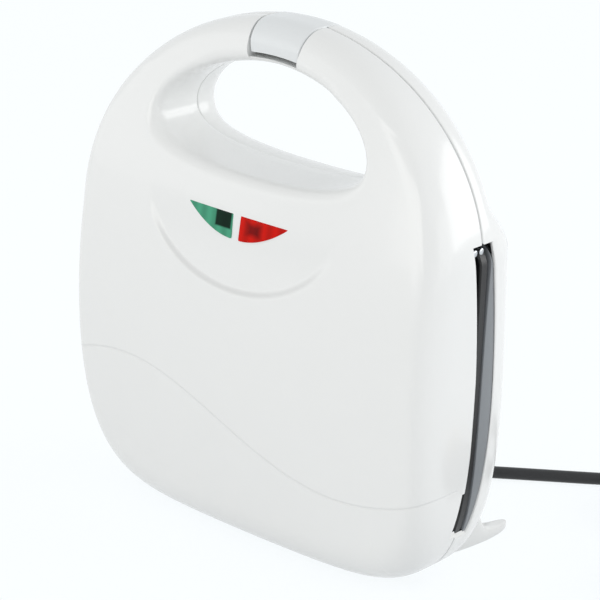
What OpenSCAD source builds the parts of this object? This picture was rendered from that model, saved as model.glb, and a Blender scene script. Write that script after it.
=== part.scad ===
// Two-slice sandwich toaster, stored standing on its hinge end.
// X runs across the body, Y through its thickness (lid towards -Y), Z up to the handle.
// Every module is drawn about the plane where lid and base meet, and placed() moves it
// so that the origin lies under the middle of the toaster.

/* [Body outline] */
// Overall width
body_w = 230; // [222:1:240]
// Overall height, from the hinge end to the top of the handle
body_h = 261.4; // [259:0.2:266]
// Distance from the top of the handle down to the widest place
wide_drop = 97.1; // [93.4:0.1:99.4]
// Squareness of the two corners at the hinge end
corner_power = 5.8; // [5:0.1:7]
// Thickness of the moulded walls
wall = 2.5; // [2:0.1:3]

/* [Lid] */
// Depth of the lid where it is deepest
lid_depth = 44.7; // [43:0.1:50]
// Depth of the lid in the middle of the handle
lid_handle_depth = 17; // [16.6:0.1:18.5]
// Depth of the lid at the hinge end
lid_hinge_depth = 31.7; // [30:0.1:34]
// Height of the lid's deepest place
lid_deep_z = 117.6; // [105:0.1:130]
// Fall of the lid's face from its middle to its sides
lid_crown = 7; // [4:0.5:9]
// Radius of the lid's rounded edge
lid_round = 24.4; // [20:0.1:26]
// How far the lid opens, degrees
lid_opening = 105; // [80:1:105]

/* [Base] */
// Depth of the base behind the cooking plates
base_depth = 32; // [31:0.1:36]
// Depth of the base at the handle
base_handle_depth = 17; // [16:0.1:19]
// Distance from the top of the handle down to where the base starts to thin
shoulder_drop = 91.4; // [87.4:1:96.4]
// Length of the thinning between base and handle
shoulder_run = 27; // [20:1:30]
// Fall of the base's face from its middle to its sides
base_crown = 2; // [1:0.5:3]
// Radius of the base's rounded edge
base_round = 20; // [16:0.1:22]
// How far the stand feet reach behind the parting plane
foot_reach = 76.7; // [70:0.1:85]
// Height of a stand foot where it leaves the base
foot_rise = 27; // [22:1:30]
// Distance from the middle to the outer side of a stand foot
foot_x = 85; // [80:1:88]
// Width of a stand foot
foot_w = 11; // [8:1:14]

/* [Handle] */
// Width of the finger hole
hole_w = 129; // [118:1:132]
// Distance from the top of the handle to the finger hole's centre
hole_drop = 52.4; // [50.5:0.1:54.5]
// Height of the finger hole above its centre
hole_up = 32; // [30:0.5:33]
// Height of the finger hole below its centre
hole_down = 18; // [16:0.5:19]
// How much lower the base's half of the finger hole reaches than the lid's
hole_step = 2; // [1:0.1:2]
// Radius of the rounded edge along the finger hole's top
hole_round = 9; // [6:0.5:9.4]
// Radius of the rounded edge along the finger hole's bottom
hole_lip = 6; // [4:0.5:9]

/* [Side slot] */
// Lower end of the slot that shows the plates
slot_low = 33; // [31:0.5:40]
// Distance from the top of the handle down to the slot's upper end
slot_drop = 83.4; // [79.4:0.5:85.4]
// Cut into the lid's edge along the slot
slot_lid_cut = 3.4; // [3:0.1:4]
// Deeper cut at the lower end of the lid's slot
slot_notch_cut = 6; // [5:0.1:8]
// Height at which that deeper cut ends
slot_notch_top = 55; // [45:1:65]
// Cut into the base's edge at both ends of the slot
slot_base_cut = 8.6; // [8:0.1:9.5]
// Extra cut into the base's edge in the middle of the slot
slot_bow = 1.6; // [0.5:0.1:2]

/* [Cooking plates] */
// Gap left between the two closed plates
plate_gap = 0.8; // [0.6:0.1:1]
// Thickness of a plate's flange
flange_t = 3.5; // [3:0.1:3.8]
// Lower edge of the plates
plate_low = 30; // [29:0.5:32]
// Distance from the top of the handle down to the plates' upper edge
plate_drop = 85.4; // [84.4:0.5:87.4]
// Gap between a plate's edge and the housing wall
plate_clear = 0.8; // [0.6:0.1:1.5]
// Depth of a toasting pocket
pocket_depth = 10; // [8:0.5:11]
// Thickness of the pan under a pocket
pan_t = 2.8; // [2.4:0.1:3.4]
// Distance from the plates' side edges in to the pan
pan_inset = 9.7; // [8.7:0.1:12.7]
// Lower edge of the pan
pan_low = 41; // [40:0.5:44]
// Distance from the plates' upper edge down to the pan
pan_drop = 11; // [10:0.5:14]
// Width of the ridges that cut and seal the sandwiches
ridge = 7; // [5:0.5:9]
// Slope of the pocket walls, in mm over their depth
draft = 5; // [3:0.5:6]

/* [Heating] */
// Diameter of the tubular heating elements
element_d = 6.4; // [6:0.1:7]
// Bend radius of the heating elements
element_bend = 17; // [14:0.5:20]
// Thickness of the reflector sheets
sheet_t = 0.8; // [0.6:0.1:1]
// Radius of the thermostat's disc
thermostat_r = 9; // [7:0.5:10]
// Height of the thermostat's body
thermostat_h = 11; // [9:0.5:12]
// Height of the thermostat above the middle of the pan
thermostat_up = 1; // [-7:1:9]
// Radius of the thermal fuse's sleeve
fuse_r = 2.2; // [1.6:0.1:3]
// Length of the thermal fuse's sleeve
fuse_len = 24; // [18:1:30]

/* [Indicator lights] */
// Distance from the top of the handle down to the lenses' upper edge
lens_drop = 87.9; // [86.9:0.1:89.4]
// Height of one lens, from its lowest corner to its upper edge
lens_h = 11.9; // [10.5:0.1:13.5]
// Gap between the two lenses
lens_gap = 4.6; // [4:0.1:6]
// Length of one lens along its upper edge
lens_len = 29; // [24:0.5:32]
// Thickness of a lens
lens_t = 4.2; // [4:0.1:5]
// How far a lens stands out of the lid
lens_proud = 0.4; // [0.2:0.1:0.6]

/* [Hinge] */
// Height of the hinge axis
hinge_z = 7; // [6.6:0.1:7.5]
// Radius of the hinge lugs
lug_r = 5.8; // [5.4:0.1:6]
// Radius of the hinge pins
pin_r = 2; // [1.8:0.1:2.4]
// Inner end of each hinge, from the middle
hinge_in = 38; // [37:0.5:42]
// Width of one hinge lug on the base
base_lug_w = 8; // [6:0.5:9]
// Width of one hinge lug on the lid
lid_lug_w = 12; // [9:0.5:13]
// Radius of the conduit that carries the wires across the hinge
conduit_r = 5.8; // [5:0.1:6]

/* [Latch] */
// Width of the latch
latch_w = 33; // [28:0.5:36]
// Thickness of the latch's band
latch_t = 3.4; // [3:0.1:3.6]
// Height of the latch's front
latch_front = 15; // [14.4:0.1:15.8]
// Height of the latch's back arm
latch_rear = 9.4; // [7.4:0.1:9.9]
// Radius of the latch's pivot barrel
barrel_r = 3; // [2.8:0.1:3.2]
// Radius of the latch pin
latch_pin_r = 1.5; // [1.2:0.1:1.6]
// Depth of the latch pin below the lid's front
latch_pin_in = 6.3; // [6.1:0.1:6.6]
// Distance from the top of the handle down to the latch pin
latch_pin_drop = 12.8; // [12.4:0.1:13.2]

/* [Feet and fasteners] */
// Radius of a rubber foot on the base's back
pad_r = 9; // [7:0.5:11]
// How far a rubber foot stands out of the base
pad_out = 3.4; // [3:0.1:5]
// Distance of the rubber feet from the middle
pad_x = 72; // [60:1:76]
// Height of the lower rubber feet
pad_low = 42; // [40:1:60]
// Distance from the top of the handle down to the upper rubber feet
pad_drop = 103.4; // [99.4:1:121.4]
// Radius of the plate screws' thread
screw_r = 1.5; // [1.3:0.1:1.6]
// Length of the plate screws
screw_len = 14; // [10:0.5:15]
// Radius of the screws' heads
screw_head_r = 3; // [2.6:0.1:3.1]
// Height of the screws' heads
head_h = 1.8; // [1.4:0.1:2.2]

/* [Mains lead] */
// Diameter of the mains lead
cord_d = 6.5; // [6:0.1:7.5]
// Height where the lead leaves the base
cord_exit_z = 18; // [17:0.5:22]
// Length of the tapered strain relief
relief_len = 30; // [22:1:45]
// Width of the plug
plug_w = 48; // [46:0.5:52]
// Length of the plug
plug_len = 46; // [42:0.5:50]
// Thickness of the plug's body
plug_t = 20; // [18:0.5:24]

/* [Hidden] */
$fn = 48;

LID = -1;
BASE = 1;
eps = 0.01;
fit_gap = 0.03;
run_gap = 0.06;
slack = 0.3;

// Heights that follow the top of the handle.
wide_z = body_h - wide_drop;
shoulder_z = body_h - shoulder_drop;
hole_z = body_h - hole_drop;
handle_low = hole_z + hole_up;
bar_z = (body_h + handle_low)/2;
bar_half = (body_h - handle_low)/2;
slot_high = body_h - slot_drop;
plate_high = body_h - plate_drop;
pan_high = plate_high - pan_drop;
lens_top = body_h - lens_drop;
lens_low = lens_top - lens_h;
pad_high = body_h - pad_drop;
thermostat_z = (pan_low + pan_high)/2 + thermostat_up;

// The parting plane is moved forwards so that the whole depth is centred on the origin.
frame_y = (lid_depth - foot_reach)/2;

// Shapes of the housing -----------------------------------------------------------

top_power = 2;
hole_top_power = 1.85;
hole_low_power = 2.5;
lid_edge_power = 2.7;
base_edge_power = 2.3;
hole_edge_power = 2.2;
straight_edge = 3;
handle_recess = 1.2;
cavity_drop = 11;
cavity_fade = 12;
hole_edge_handle = 13;
hole_edge_lid = 7;
hole_edge_base = 16;

function mix(a, b, t) = a + (b - a)*t;
function ease(t) = t <= 0 ? 0 : t >= 1 ? 1 : t*t*(3 - 2*t);
function soft_min(a, b) = pow(pow(a, -4) + pow(b, -4), -1/4);
function spow(v, p) = pow(max(v, 0), p);

// Radius of the outline from (0, wide_z), at an angle from straight up.
function outline_r(turn) =
    let (n = turn <= 90 ? top_power : corner_power,
         b = turn <= 90 ? body_h - wide_z : wide_z)
    pow(pow(abs(sin(turn))/(body_w/2), n) + pow(abs(cos(turn))/b, n), -1/n);

// Half width of the outline at a height.
function half_width(z) =
    z > wide_z
    ? body_w/2*sqrt(max(0, 1 - pow((z - wide_z)/(body_h - wide_z), 2)))
    : body_w/2*spow(1 - pow((wide_z - max(z, 0))/wide_z, corner_power), 1/corner_power);

// Depth of the lid's face and of the base's face over the parting plane.
function lid_spine(z) =
    z < lid_deep_z
    ? mix(lid_hinge_depth, lid_depth, sin(90*z/lid_deep_z))
    : mix(lid_depth, lid_handle_depth, pow((z - lid_deep_z)/(bar_z - lid_deep_z), 2));
function base_spine(z) =
    mix(base_handle_depth, base_depth, ease((shoulder_z + shoulder_run - z)/shoulder_run));
function face_depth(side, x, z) =
    side == LID
    ? lid_spine(z) - lid_crown*pow(2*x/body_w, 2)
    : base_spine(z) - base_crown*pow(2*x/body_w, 2);

// The housing's mesh runs round the body in columns. A column joins a point of the outline
// to a point of the finger hole, and is packed closer round the square corners.
top_columns = 18;
low_columns = 20;
half_columns = top_columns + low_columns;
columns = 2*half_columns;
corner_pack = 7;
pack_start = 0.1;

function low_turn(s) = 90*s + corner_pack*(sin(360*(s - pack_start)) + sin(360*pack_start));
function column_turn(k) =
    k <= top_columns ? 90*k/top_columns : 90 + low_turn((k - top_columns)/low_columns);
function column_phase(k) =
    k <= top_columns ? 90*k/top_columns : 90 + 90*(k - top_columns)/low_columns;
function mirrored(i) = i <= half_columns ? i : columns - i;
function sign_of(i) = i <= half_columns ? 1 : -1;

function outline_point(i) =
    let (turn = column_turn(mirrored(i)), r = outline_r(turn))
    [sign_of(i)*r*sin(turn), wide_z + r*cos(turn)];
function hole_fall(side) = side == LID ? hole_down : hole_down + hole_step;
function hole_point(side, i) =
    let (p = column_phase(mirrored(i)),
         h = p <= 90 ? hole_up : hole_fall(side),
         n = p <= 90 ? hole_top_power : hole_low_power,
         c = cos(p))
    [sign_of(i)*hole_w/2*spow(sin(p), 2/n), hole_z + h*sign(c)*spow(abs(c), 2/n)];

edge_angles = [0, 18, 38, 60, 90];
hole_angles = [90, 55, 28, 0];
inner_angles = [0, 40, 90];
lid_shares = [0.22, 0.47, 0.71, 0.95];
first_share = [0.1, 0.22, 0.34, 0.46];
last_share = [0.88, 0.92, 0.955, 0.985];
face_rows = len(lid_shares);

// A point of a column at distance d from the outline, as [x, z].
function along(a, b, d) = mix(a, b, d/norm(b - a));

// Rounded outer edge: distance and depth, for a skin set in by inset.
function edge_row(side, a, b, angle, inset) =
    let (power = side == LID ? lid_edge_power : base_edge_power,
         r = soft_min(side == LID ? lid_round : base_round, norm(b - a)/2),
         d = r - (r - inset)*spow(cos(angle), 2/power),
         q = along(a, b, d),
         face = face_depth(side, q[0], q[1]),
         rise = min(side == LID ? lid_round : base_round, face - straight_edge))
    [q[0], q[1], face - rise + (rise - inset)*spow(sin(angle), 2/power)];

// Rounded edge of the finger hole, in the same way.
function highness(i) = (1 + cos(column_phase(mirrored(i))))/2;
function hole_radius(i, len) = min(mix(hole_lip, hole_round, highness(i)), len*0.45);
function hole_row(side, a, b, i, angle, inset) =
    let (len = norm(b - a),
         r = hole_radius(i, len),
         q = along(a, b, len - (r - (r - inset)*spow(cos(angle), 2/hole_edge_power))),
         face = face_depth(side, q[0], q[1]),
         low = side == LID ? hole_edge_lid : hole_edge_base,
         rise = min(mix(low, hole_edge_handle, highness(i)), face - straight_edge))
    [q[0], q[1], face - rise + (rise - inset)*spow(sin(angle), 2/hole_edge_power)];

// The rows between the two edges lie at fixed shares on the lid. On the base they follow
// the heights of the shoulder wherever a column crosses it.
function share_of(side, a, b, d0, d1, k) =
    let (climb = b[1] - a[1],
         level = shoulder_z + shoulder_run*(k + 0.5)/face_rows,
         d = climb > 1 ? norm(b - a)*(level - a[1])/climb : 0)
    side == LID
    ? lid_shares[k]
    : min(max((d - d0)/(d1 - d0), first_share[k]), last_share[k]);
function face_row(side, a, b, i, k, inset) =
    let (len = norm(b - a),
         d0 = soft_min(side == LID ? lid_round : base_round, len/2),
         d1 = len - hole_radius(i, len),
         q = along(a, b, mix(d0, d1, share_of(side, a, b, d0, d1, k))))
    [q[0], q[1], face_depth(side, q[0], q[1]) - inset];

// Above the cooking plates the cavity closes, and the handle keeps a shallow recess.
function hollowed(side, q) =
    let (level = hole_z - hole_fall(side) - cavity_drop + cavity_fade)
    [q[0], q[1], max(handle_recess, q[2]*ease((level - q[1])/cavity_fade))];
function flat_point(a, b, d) = let (q = along(a, b, d)) [q[0], q[1], 0];

function column_rows(side, i) =
    let (a = outline_point(i), b = hole_point(side, i), len = norm(b - a))
    concat(
        [flat_point(a, b, 0)],
        [for (k = edge_angles) edge_row(side, a, b, k, 0)],
        [for (k = [0:face_rows - 1]) face_row(side, a, b, i, k, 0)],
        [for (k = hole_angles) hole_row(side, a, b, i, k, 0)],
        [flat_point(a, b, len), flat_point(a, b, len - wall)],
        [hollowed(side, hole_row(side, a, b, i, 0, wall)), hollowed(side, hole_row(side, a, b, i, 90, wall))],
        [for (k = [face_rows - 1:-1:0]) hollowed(side, face_row(side, a, b, i, k, wall))],
        [for (k = [2:-1:0]) hollowed(side, edge_row(side, a, b, inner_angles[k], wall))],
        [flat_point(a, b, wall)]
    );

// One half of the housing as a closed skin: outer face, parting edge and inner face.
module housing_half(side) {
    grid = [for (i = [0:columns - 1]) column_rows(side, i)];
    rows = len(grid[0]);
    pts = [for (i = [0:columns - 1], m = [0:rows - 1])
        [grid[i][m][0], side*grid[i][m][2], grid[i][m][1]]];
    faces = [for (i = [0:columns - 1], m = [0:rows - 1], half = [0, 1])
        let (i2 = (i + 1) % columns, m2 = (m + 1) % rows,
             a = i*rows + m, b = i2*rows + m, c = i2*rows + m2, d = i*rows + m2,
             tri = half == 0 ? [a, b, c] : [a, c, d])
        side == LID ? tri : [tri[2], tri[1], tri[0]]];
    polyhedron(points = pts, faces = faces);
}

// Small helpers --------------------------------------------------------------------

module placed() {
    translate([0, frame_y, 0]) children();
}

// Extrudes a drawing of (y, z) along X, over a width centred on x = 0.
module across(width) {
    rotate([90, 0, 90]) linear_extrude(width, center = true) children();
}

// Extrudes a drawing of (x, z) along Y, from y0 to y1.
module through(y0, y1) {
    translate([0, max(y0, y1), 0]) rotate([90, 0, 0]) linear_extrude(abs(y1 - y0)) children();
}

// Round bar along Y or along X.
module bar_y(r, x, z, y0, y1) {
    translate([x, max(y0, y1), z]) rotate([90, 0, 0]) cylinder(r = r, h = abs(y1 - y0));
}
module bar_x(r, y, z, x0, x1) {
    translate([min(x0, x1), y, z]) rotate([0, 90, 0]) cylinder(r = r, h = abs(x1 - x0));
}
module both_sides() {
    children();
    mirror([1, 0, 0]) children();
}

// Cooking plates -------------------------------------------------------------------

plate_face = plate_gap/2;
flange_back = plate_face + flange_t;
pan_back = plate_face + pocket_depth + pan_t;
reflector_y = pan_back + element_d + 0.4;
plate_x = body_w/2 - wall - plate_clear;
pan_x = plate_x - pan_inset;
plate_corner = 10;
pan_corner = 12;
plate_steps = 12;
screw_xs = [pan_x - 22, pan_x - 32];
screw_seat = plate_face + 0.2 + head_h;
screw_zs = [(pan_high + plate_high)/2 + 0.6, (pan_low + plate_low)/2];
post_r = 3.8;
reflector_screw_x = pan_x*0.45;
boss_r = 4.5;
boss_bore = 6;
reflector_screw_in = 29;
reflector_screw_zs = [pan_low + reflector_screw_in, pan_high - reflector_screw_in];
side_screw_z = plate_high - 4;
side_screw_len = 8;

// Outline of a plate, kept clear of the housing's wall at the rounded corners.
module plate_outline(clear) {
    z0 = plate_low - clear;
    z1 = plate_high + clear;
    right = [for (k = [0:plate_steps])
        let (z = mix(z0, z1 - plate_corner, k/plate_steps))
        [min(plate_x, half_width(z) - wall - plate_clear) + clear, z]];
    top = [for (a = [15:15:90])
        [plate_x + clear - plate_corner*(1 - cos(a)), z1 - plate_corner*(1 - sin(a))]];
    half = concat(right, top);
    count = len(half) - 1;
    polygon(concat(half, [for (k = [count:-1:0]) [-half[k][0], half[k][1]]]));
}

module rounded_box(x0, x1, z0, z1, r) {
    translate([x0 + r, z0]) square([x1 - x0 - 2*r, z1 - z0]);
    translate([x0, z0 + r]) square([x1 - x0, z1 - z0 - 2*r]);
    for (x = [x0 + r, x1 - r], z = [z0 + r, z1 - r]) translate([x, z]) circle(r);
}

// A pocket for half a sandwich: a triangle whose walls slope in towards its floor.
function shrunk(tri, by) =
    let (c = (tri[0] + tri[1] + tri[2])/3)
    [for (p = tri) c + (p - c)*(1 - by/norm(p - c))];
module pocket(tri, depth) {
    floor_tri = shrunk(tri, 2*draft);
    over = shrunk(tri, -2*draft*slack/depth);
    polyhedron(
        points = concat(
            [for (p = over) [p[0], plate_face - slack, p[1]]],
            [for (p = floor_tri) [p[0], plate_face + depth, p[1]]]),
        faces = [[2, 1, 0], [3, 4, 5], [4, 3, 0], [1, 4, 0], [5, 4, 1], [2, 5, 1], [3, 5, 2], [0, 3, 2]]);
}
pocket_in = ridge/2;
pocket_out = pan_x - 6;
pocket_low = pan_low + 6;
pocket_high = pan_high - 6;
diagonal = ridge*1.1;
module pockets() {
    both_sides() {
        pocket([[pocket_in, pocket_high], [pocket_in, pocket_low + diagonal],
            [pocket_out - diagonal, pocket_high]], pocket_depth);
        pocket([[pocket_out, pocket_low], [pocket_out, pocket_high - diagonal],
            [pocket_in + diagonal, pocket_low]], pocket_depth);
    }
}

// The plate of the base. The lid's plate is its mirror image.
module cooking_plate() {
    difference() {
        union() {
            through(plate_face, flange_back) plate_outline(0);
            through(plate_face, pan_back)
                rounded_box(-pan_x, pan_x, pan_low, pan_high, pan_corner);
            both_sides() {
                for (z = reflector_screw_zs) {
                    bar_y(boss_r, reflector_screw_x, z, pan_back - eps, reflector_y);
                }
            }
        }
        pockets();
        both_sides() {
            for (k = [0, 1]) {
                bar_y(screw_r + 0.3, screw_xs[k], screw_zs[k], -1, flange_back + 1);
                bar_y(screw_head_r + 0.3, screw_xs[k], screw_zs[k], -1, screw_seat);
            }
            for (z = reflector_screw_zs) {
                bar_y(screw_r + fit_gap, reflector_screw_x, z, reflector_y - boss_bore,
                    reflector_y + 1);
            }
            bar_x(screw_r + fit_gap, (plate_face + flange_back)/2, side_screw_z,
                plate_x - side_screw_len - 1, plate_x + 1);
        }
    }
}
module lower_plate() {
    placed() color("#2b2b2d") cooking_plate();
}
module upper_plate() {
    placed() color("#2b2b2d") mirror([0, 1, 0]) cooking_plate();
}

// Pan-head screws that hold a plate to its housing.
module plate_screw(x, z) {
    bar_y(screw_r, x, z, screw_seat, screw_seat + screw_len);
    bar_y(screw_head_r, x, z, screw_seat - head_h, screw_seat);
}
module plate_screws() {
    both_sides() {
        for (k = [0, 1]) plate_screw(screw_xs[k], screw_zs[k]);
    }
}
module lower_plate_screws() {
    placed() color("silver") plate_screws();
}
module upper_plate_screws() {
    placed() color("silver") mirror([0, 1, 0]) plate_screws();
}

// Round-headed screws in the plates' side edges, seen at the top of the slot.
side_head_r = (flange_t - 0.2)/2;
module side_screws() {
    y = (plate_face + flange_back)/2;
    both_sides() {
        bar_x(screw_r, y, side_screw_z, plate_x - side_screw_len, plate_x);
        bar_x(side_head_r, y, side_screw_z, plate_x, plate_x + plate_clear - 0.1);
    }
}
module lower_side_screws() {
    placed() color("silver") side_screws();
}
module upper_side_screws() {
    placed() color("silver") mirror([0, 1, 0]) side_screws();
}

// Heating --------------------------------------------------------------------------

element_y = pan_back + element_d/2 + 0.2;
element_x = pan_x - 24;
element_low = pan_low + 15;
element_high = pan_high - 15;
pin_out = 12;
pin_len = 8;
element_pin_r = 1.2;

// A tubular element bent into a U, with both ends turned down to its terminals.
module element() {
    r = element_d/2;
    both_sides() {
        translate([element_x, element_y, element_low + element_bend])
            cylinder(r = r, h = element_high - element_low - 2*element_bend);
        translate([element_x - element_bend, element_y, element_high - element_bend])
            rotate([90, 0, 0]) rotate_extrude(angle = 90) translate([element_bend, 0]) circle(r);
        translate([element_x - element_bend, element_y, element_low + element_bend])
            rotate([90, 0, 0]) rotate([0, 0, -90]) rotate_extrude(angle = 90)
            translate([element_bend, 0]) circle(r);
        bar_x(r, element_y, element_low, pin_out, element_x - element_bend);
        bar_x(element_pin_r, element_y, element_low, pin_out - pin_len, pin_out);
    }
    bar_x(r, element_y, element_high, element_bend - element_x, element_x - element_bend);
}
module lower_element() {
    placed() color("#6d6a66") element();
}
module upper_element() {
    placed() color("#6d6a66") mirror([0, 1, 0]) element();
}

// Aluminised sheet that throws the heat back at the plate.
reflector_margin = 5;
module reflector(hole) {
    difference() {
        through(reflector_y, reflector_y + sheet_t)
            rounded_box(reflector_margin - pan_x, pan_x - reflector_margin,
                pan_low + reflector_margin, pan_high - reflector_margin, pan_corner);
        both_sides() {
            for (z = reflector_screw_zs) {
                bar_y(screw_r + 0.3, reflector_screw_x, z, reflector_y - 1, reflector_y + 2);
            }
        }
        if (hole) {
            bar_y(thermostat_r + 1, 0, thermostat_z, reflector_y - 1, reflector_y + 2);
        }
        translate([-pin_out, reflector_y - 1, element_low - 6]) cube([2*pin_out, 3, 12]);
    }
}
module lower_reflector() {
    placed() color("#c9cbcd") reflector(true);
}
module upper_reflector() {
    placed() color("#c9cbcd") mirror([0, 1, 0]) reflector(false);
}
module reflector_screws() {
    both_sides() {
        for (z = reflector_screw_zs) {
            bar_y(screw_r, reflector_screw_x, z, reflector_y - boss_bore + 1,
                reflector_y + sheet_t);
            bar_y(screw_head_r, reflector_screw_x, z,
                reflector_y + sheet_t, reflector_y + sheet_t + head_h);
        }
    }
}
module lower_reflector_screws() {
    placed() color("silver") reflector_screws();
}
module upper_reflector_screws() {
    placed() color("silver") mirror([0, 1, 0]) reflector_screws();
}

// Disc thermostat, pressed on the back of the lower pan.
cap_h = thermostat_h*0.45;
rivet_r = 1.4;
module thermostat() {
    placed() color("#d8d0c0") difference() {
        union() {
            bar_y(thermostat_r, 0, thermostat_z, pan_back, pan_back + cap_h);
            bar_y(thermostat_r - 2, 0, thermostat_z, pan_back + cap_h, pan_back + thermostat_h);
        }
        bar_y(rivet_r, 0, thermostat_z, pan_back + cap_h + 2, pan_back + thermostat_h + 1);
    }
}

// Thermal fuse in its sleeve, lying against the reflector beside the thermostat.
fuse_x = thermostat_r*2 + fuse_r*2;
fuse_lead = 8;
fuse_lead_r = 0.7;
module thermal_fuse() {
    placed() color("#e8e4da")
        translate([fuse_x, reflector_y + sheet_t + fuse_r + 0.2, thermostat_z]) {
            cylinder(r = fuse_r, h = fuse_len, center = true);
            cylinder(r = fuse_lead_r, h = fuse_len + 2*fuse_lead, center = true);
        }
}

// Housing halves -------------------------------------------------------------------

hinge_out = hinge_in + 2*base_lug_w + lid_lug_w + 2*slack;
lid_lug_in = hinge_in + base_lug_w + slack;
relief_r = hinge_z/sin((180 - lid_opening)/2) + 0.4;
relief_y = sqrt(relief_r*relief_r - hinge_z*hinge_z);
relief_x = 90;
base_lug_root = 13;
lid_lug_root = 18;

// Screw post from the back of the plate's flange to the inside of the housing.
module posts(side) {
    both_sides() {
        for (k = [0, 1]) {
            depth = face_depth(side, screw_xs[k], screw_zs[k]) - wall/2;
            difference() {
                bar_y(post_r, screw_xs[k], screw_zs[k], side*flange_back, side*depth);
                bar_y(screw_r + fit_gap, screw_xs[k], screw_zs[k], side*(flange_back - 1),
                    side*(screw_seat + screw_len + 1));
            }
        }
    }
}

// A hinge lug: a round eye with a square root that runs into the floor of its housing.
module lug(side, x0, width) {
    root = side == LID ? lid_lug_root : base_lug_root;
    translate([x0 + width/2, 0, 0]) across(width) {
        translate([0, hinge_z]) circle(lug_r);
        translate([side == LID ? -root : 0, hinge_z - lug_r]) square([root, 2*lug_r]);
    }
}

// Side slots: a bar right across the body, as deep as each half's edge is cut back.
module lid_slot() {
    across(body_w + 2) {
        translate([-slot_lid_cut, slot_low]) square([slot_lid_cut + 1, slot_high - slot_low]);
        translate([-slot_notch_cut, slot_low])
            square([slot_notch_cut + 1, slot_notch_top - slot_low]);
    }
}
slot_steps = 12;
module base_slot() {
    across(body_w + 2) polygon(concat(
        [[-1, slot_low]],
        [for (k = [0:slot_steps])
            [slot_base_cut + slot_bow*sin(180*k/slot_steps), mix(slot_low, slot_high, k/slot_steps)]],
        [[-1, slot_high]]));
}

// Latch ----------------------------------------------------------------------------

bar_power = 2.6;
bend_r = pow(body_w/2, 2)/(body_h - wide_z);
bend_z = body_h - bend_r;
latch_gap = 0.4;
latch_low = body_h - latch_front;
latch_back = body_h - latch_rear;
latch_pin_z = body_h - latch_pin_drop;
latch_room = 3;
recess_low = latch_low - latch_room;
recess_w = latch_w + 1.6;
web = 8;
handle_lean = 2*(lid_depth - lid_handle_depth)/(bar_z - lid_deep_z);
latch_pin_y = -(lid_handle_depth + handle_lean*(bar_z - latch_pin_z) - latch_pin_in);
latch_proud = 0.2;
bead = 2.4;
bead_h = 2.2;
reach = lid_depth + base_depth;

// Cross-section of the handle as [height over the bend's centre, -y], grown by some mm.
// Its front leans back towards the top, at the slope of the lid's face.
function bar_curve(grow) =
    [for (a = [0:6:354])
        let (reach = (sin(a) < 0 ? base_handle_depth : lid_handle_depth) + grow,
             lean = sin(a) < 0 ? 0 : handle_lean/reach,
             rise = (bar_half + grow)*sign(cos(a))*spow(abs(cos(a)), 2/bar_power))
        [bar_z - bend_z + rise,
         reach*sign(sin(a))*spow(abs(sin(a)), 2/bar_power)*(1 - lean*rise)]];

// Sweeps such a section along the handle's curve, over a width measured at its top.
module along_handle(width) {
    turn = width/bend_r*180/PI;
    translate([0, 0, bend_z]) rotate([90, 0, 0]) rotate([0, 0, 90 - turn/2])
        rotate_extrude(angle = turn, $fn = 96) children();
}

// The latch's section: a band round the handle's top with a bead at the end of its back arm.
module latch_section() {
    difference() {
        polygon(bar_curve(latch_proud));
        polygon(bar_curve(-latch_t));
        translate([-bend_z, 0]) square([latch_low, reach]);
        translate([-bend_z, -reach]) square([latch_back, reach]);
    }
    intersection() {
        polygon(bar_curve(latch_proud));
        translate([latch_back - bend_z, -reach])
            square([bead_h, reach - base_handle_depth + latch_t + bead]);
    }
}
module latch() {
    placed() color("#eceef0") difference() {
        union() {
            along_handle(latch_w) latch_section();
            bar_x(barrel_r, latch_pin_y, latch_pin_z, -latch_w/2 + 0.5, latch_w/2 - 0.5);
        }
        bar_x(latch_pin_r + run_gap, latch_pin_y, latch_pin_z, -latch_w, latch_w);
    }
}
module latch_pin() {
    placed() color("silver")
        bar_x(latch_pin_r, latch_pin_y, latch_pin_z, -recess_w/2 - 4, recess_w/2 + 4);
}

// Room for the latch over the lid's handle. A web stays under the middle of its band.
module lid_recess() {
    along_handle(recess_w) difference() {
        translate([recess_low - bend_z, -1]) square([reach, reach]);
        intersection() {
            union() {
                polygon(bar_curve(-latch_t - latch_gap));
                translate([handle_low - bend_z, -2]) square([bar_z - handle_low, reach]);
            }
            translate([handle_low - bend_z, -2]) square([reach, web + 2]);
        }
    }
    bar_x(barrel_r + latch_gap, latch_pin_y, latch_pin_z, -recess_w/2, recess_w/2);
}

// The base's handle is cut down so that the latch's back arm passes over it.
module base_recess() {
    along_handle(recess_w)
        translate([latch_back - latch_gap - bend_z, -reach]) square([reach, reach + 1]);
}

// Lenses and lamps -----------------------------------------------------------------

lens_z = (lens_top + lens_low)/2;
lens_y = -face_depth(LID, lens_gap/2, lens_z);
lens_tilt = atan((lid_spine(lens_low) - lid_spine(lens_top))/(lens_top - lens_low));
lens_power = 1.9;
lens_steps = 6;

// A lens: straight along its top and its inner side, curved up to a point below.
module lens_outline(clear) {
    curve = [for (k = [0:lens_steps])
        let (s = k/lens_steps)
        [lens_gap/2 + lens_len*s, mix(lens_low, lens_top, pow(s, lens_power)*0.96)]];
    polygon(concat(
        [[lens_gap/2 - clear, lens_top + clear], [lens_gap/2 - clear, lens_low - clear]],
        [for (p = curve) [p[0] + clear*0.6, p[1] - clear]],
        [[lens_gap/2 + lens_len + 2*clear, lens_top + clear]]));
}
module lens_slab(y0, y1, clear) {
    translate([0, lens_y, lens_z]) rotate([lens_tilt, 0, 0]) translate([0, -lens_y, -lens_z])
        through(lens_y + y0, lens_y + y1) lens_outline(clear);
}
module red_lens() {
    placed() color("#c81e12") lens_slab(-lens_proud, lens_t - lens_proud, 0);
}
module green_lens() {
    placed() color("#2f8f66") mirror([1, 0, 0]) lens_slab(-lens_proud, lens_t - lens_proud, 0);
}

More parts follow.
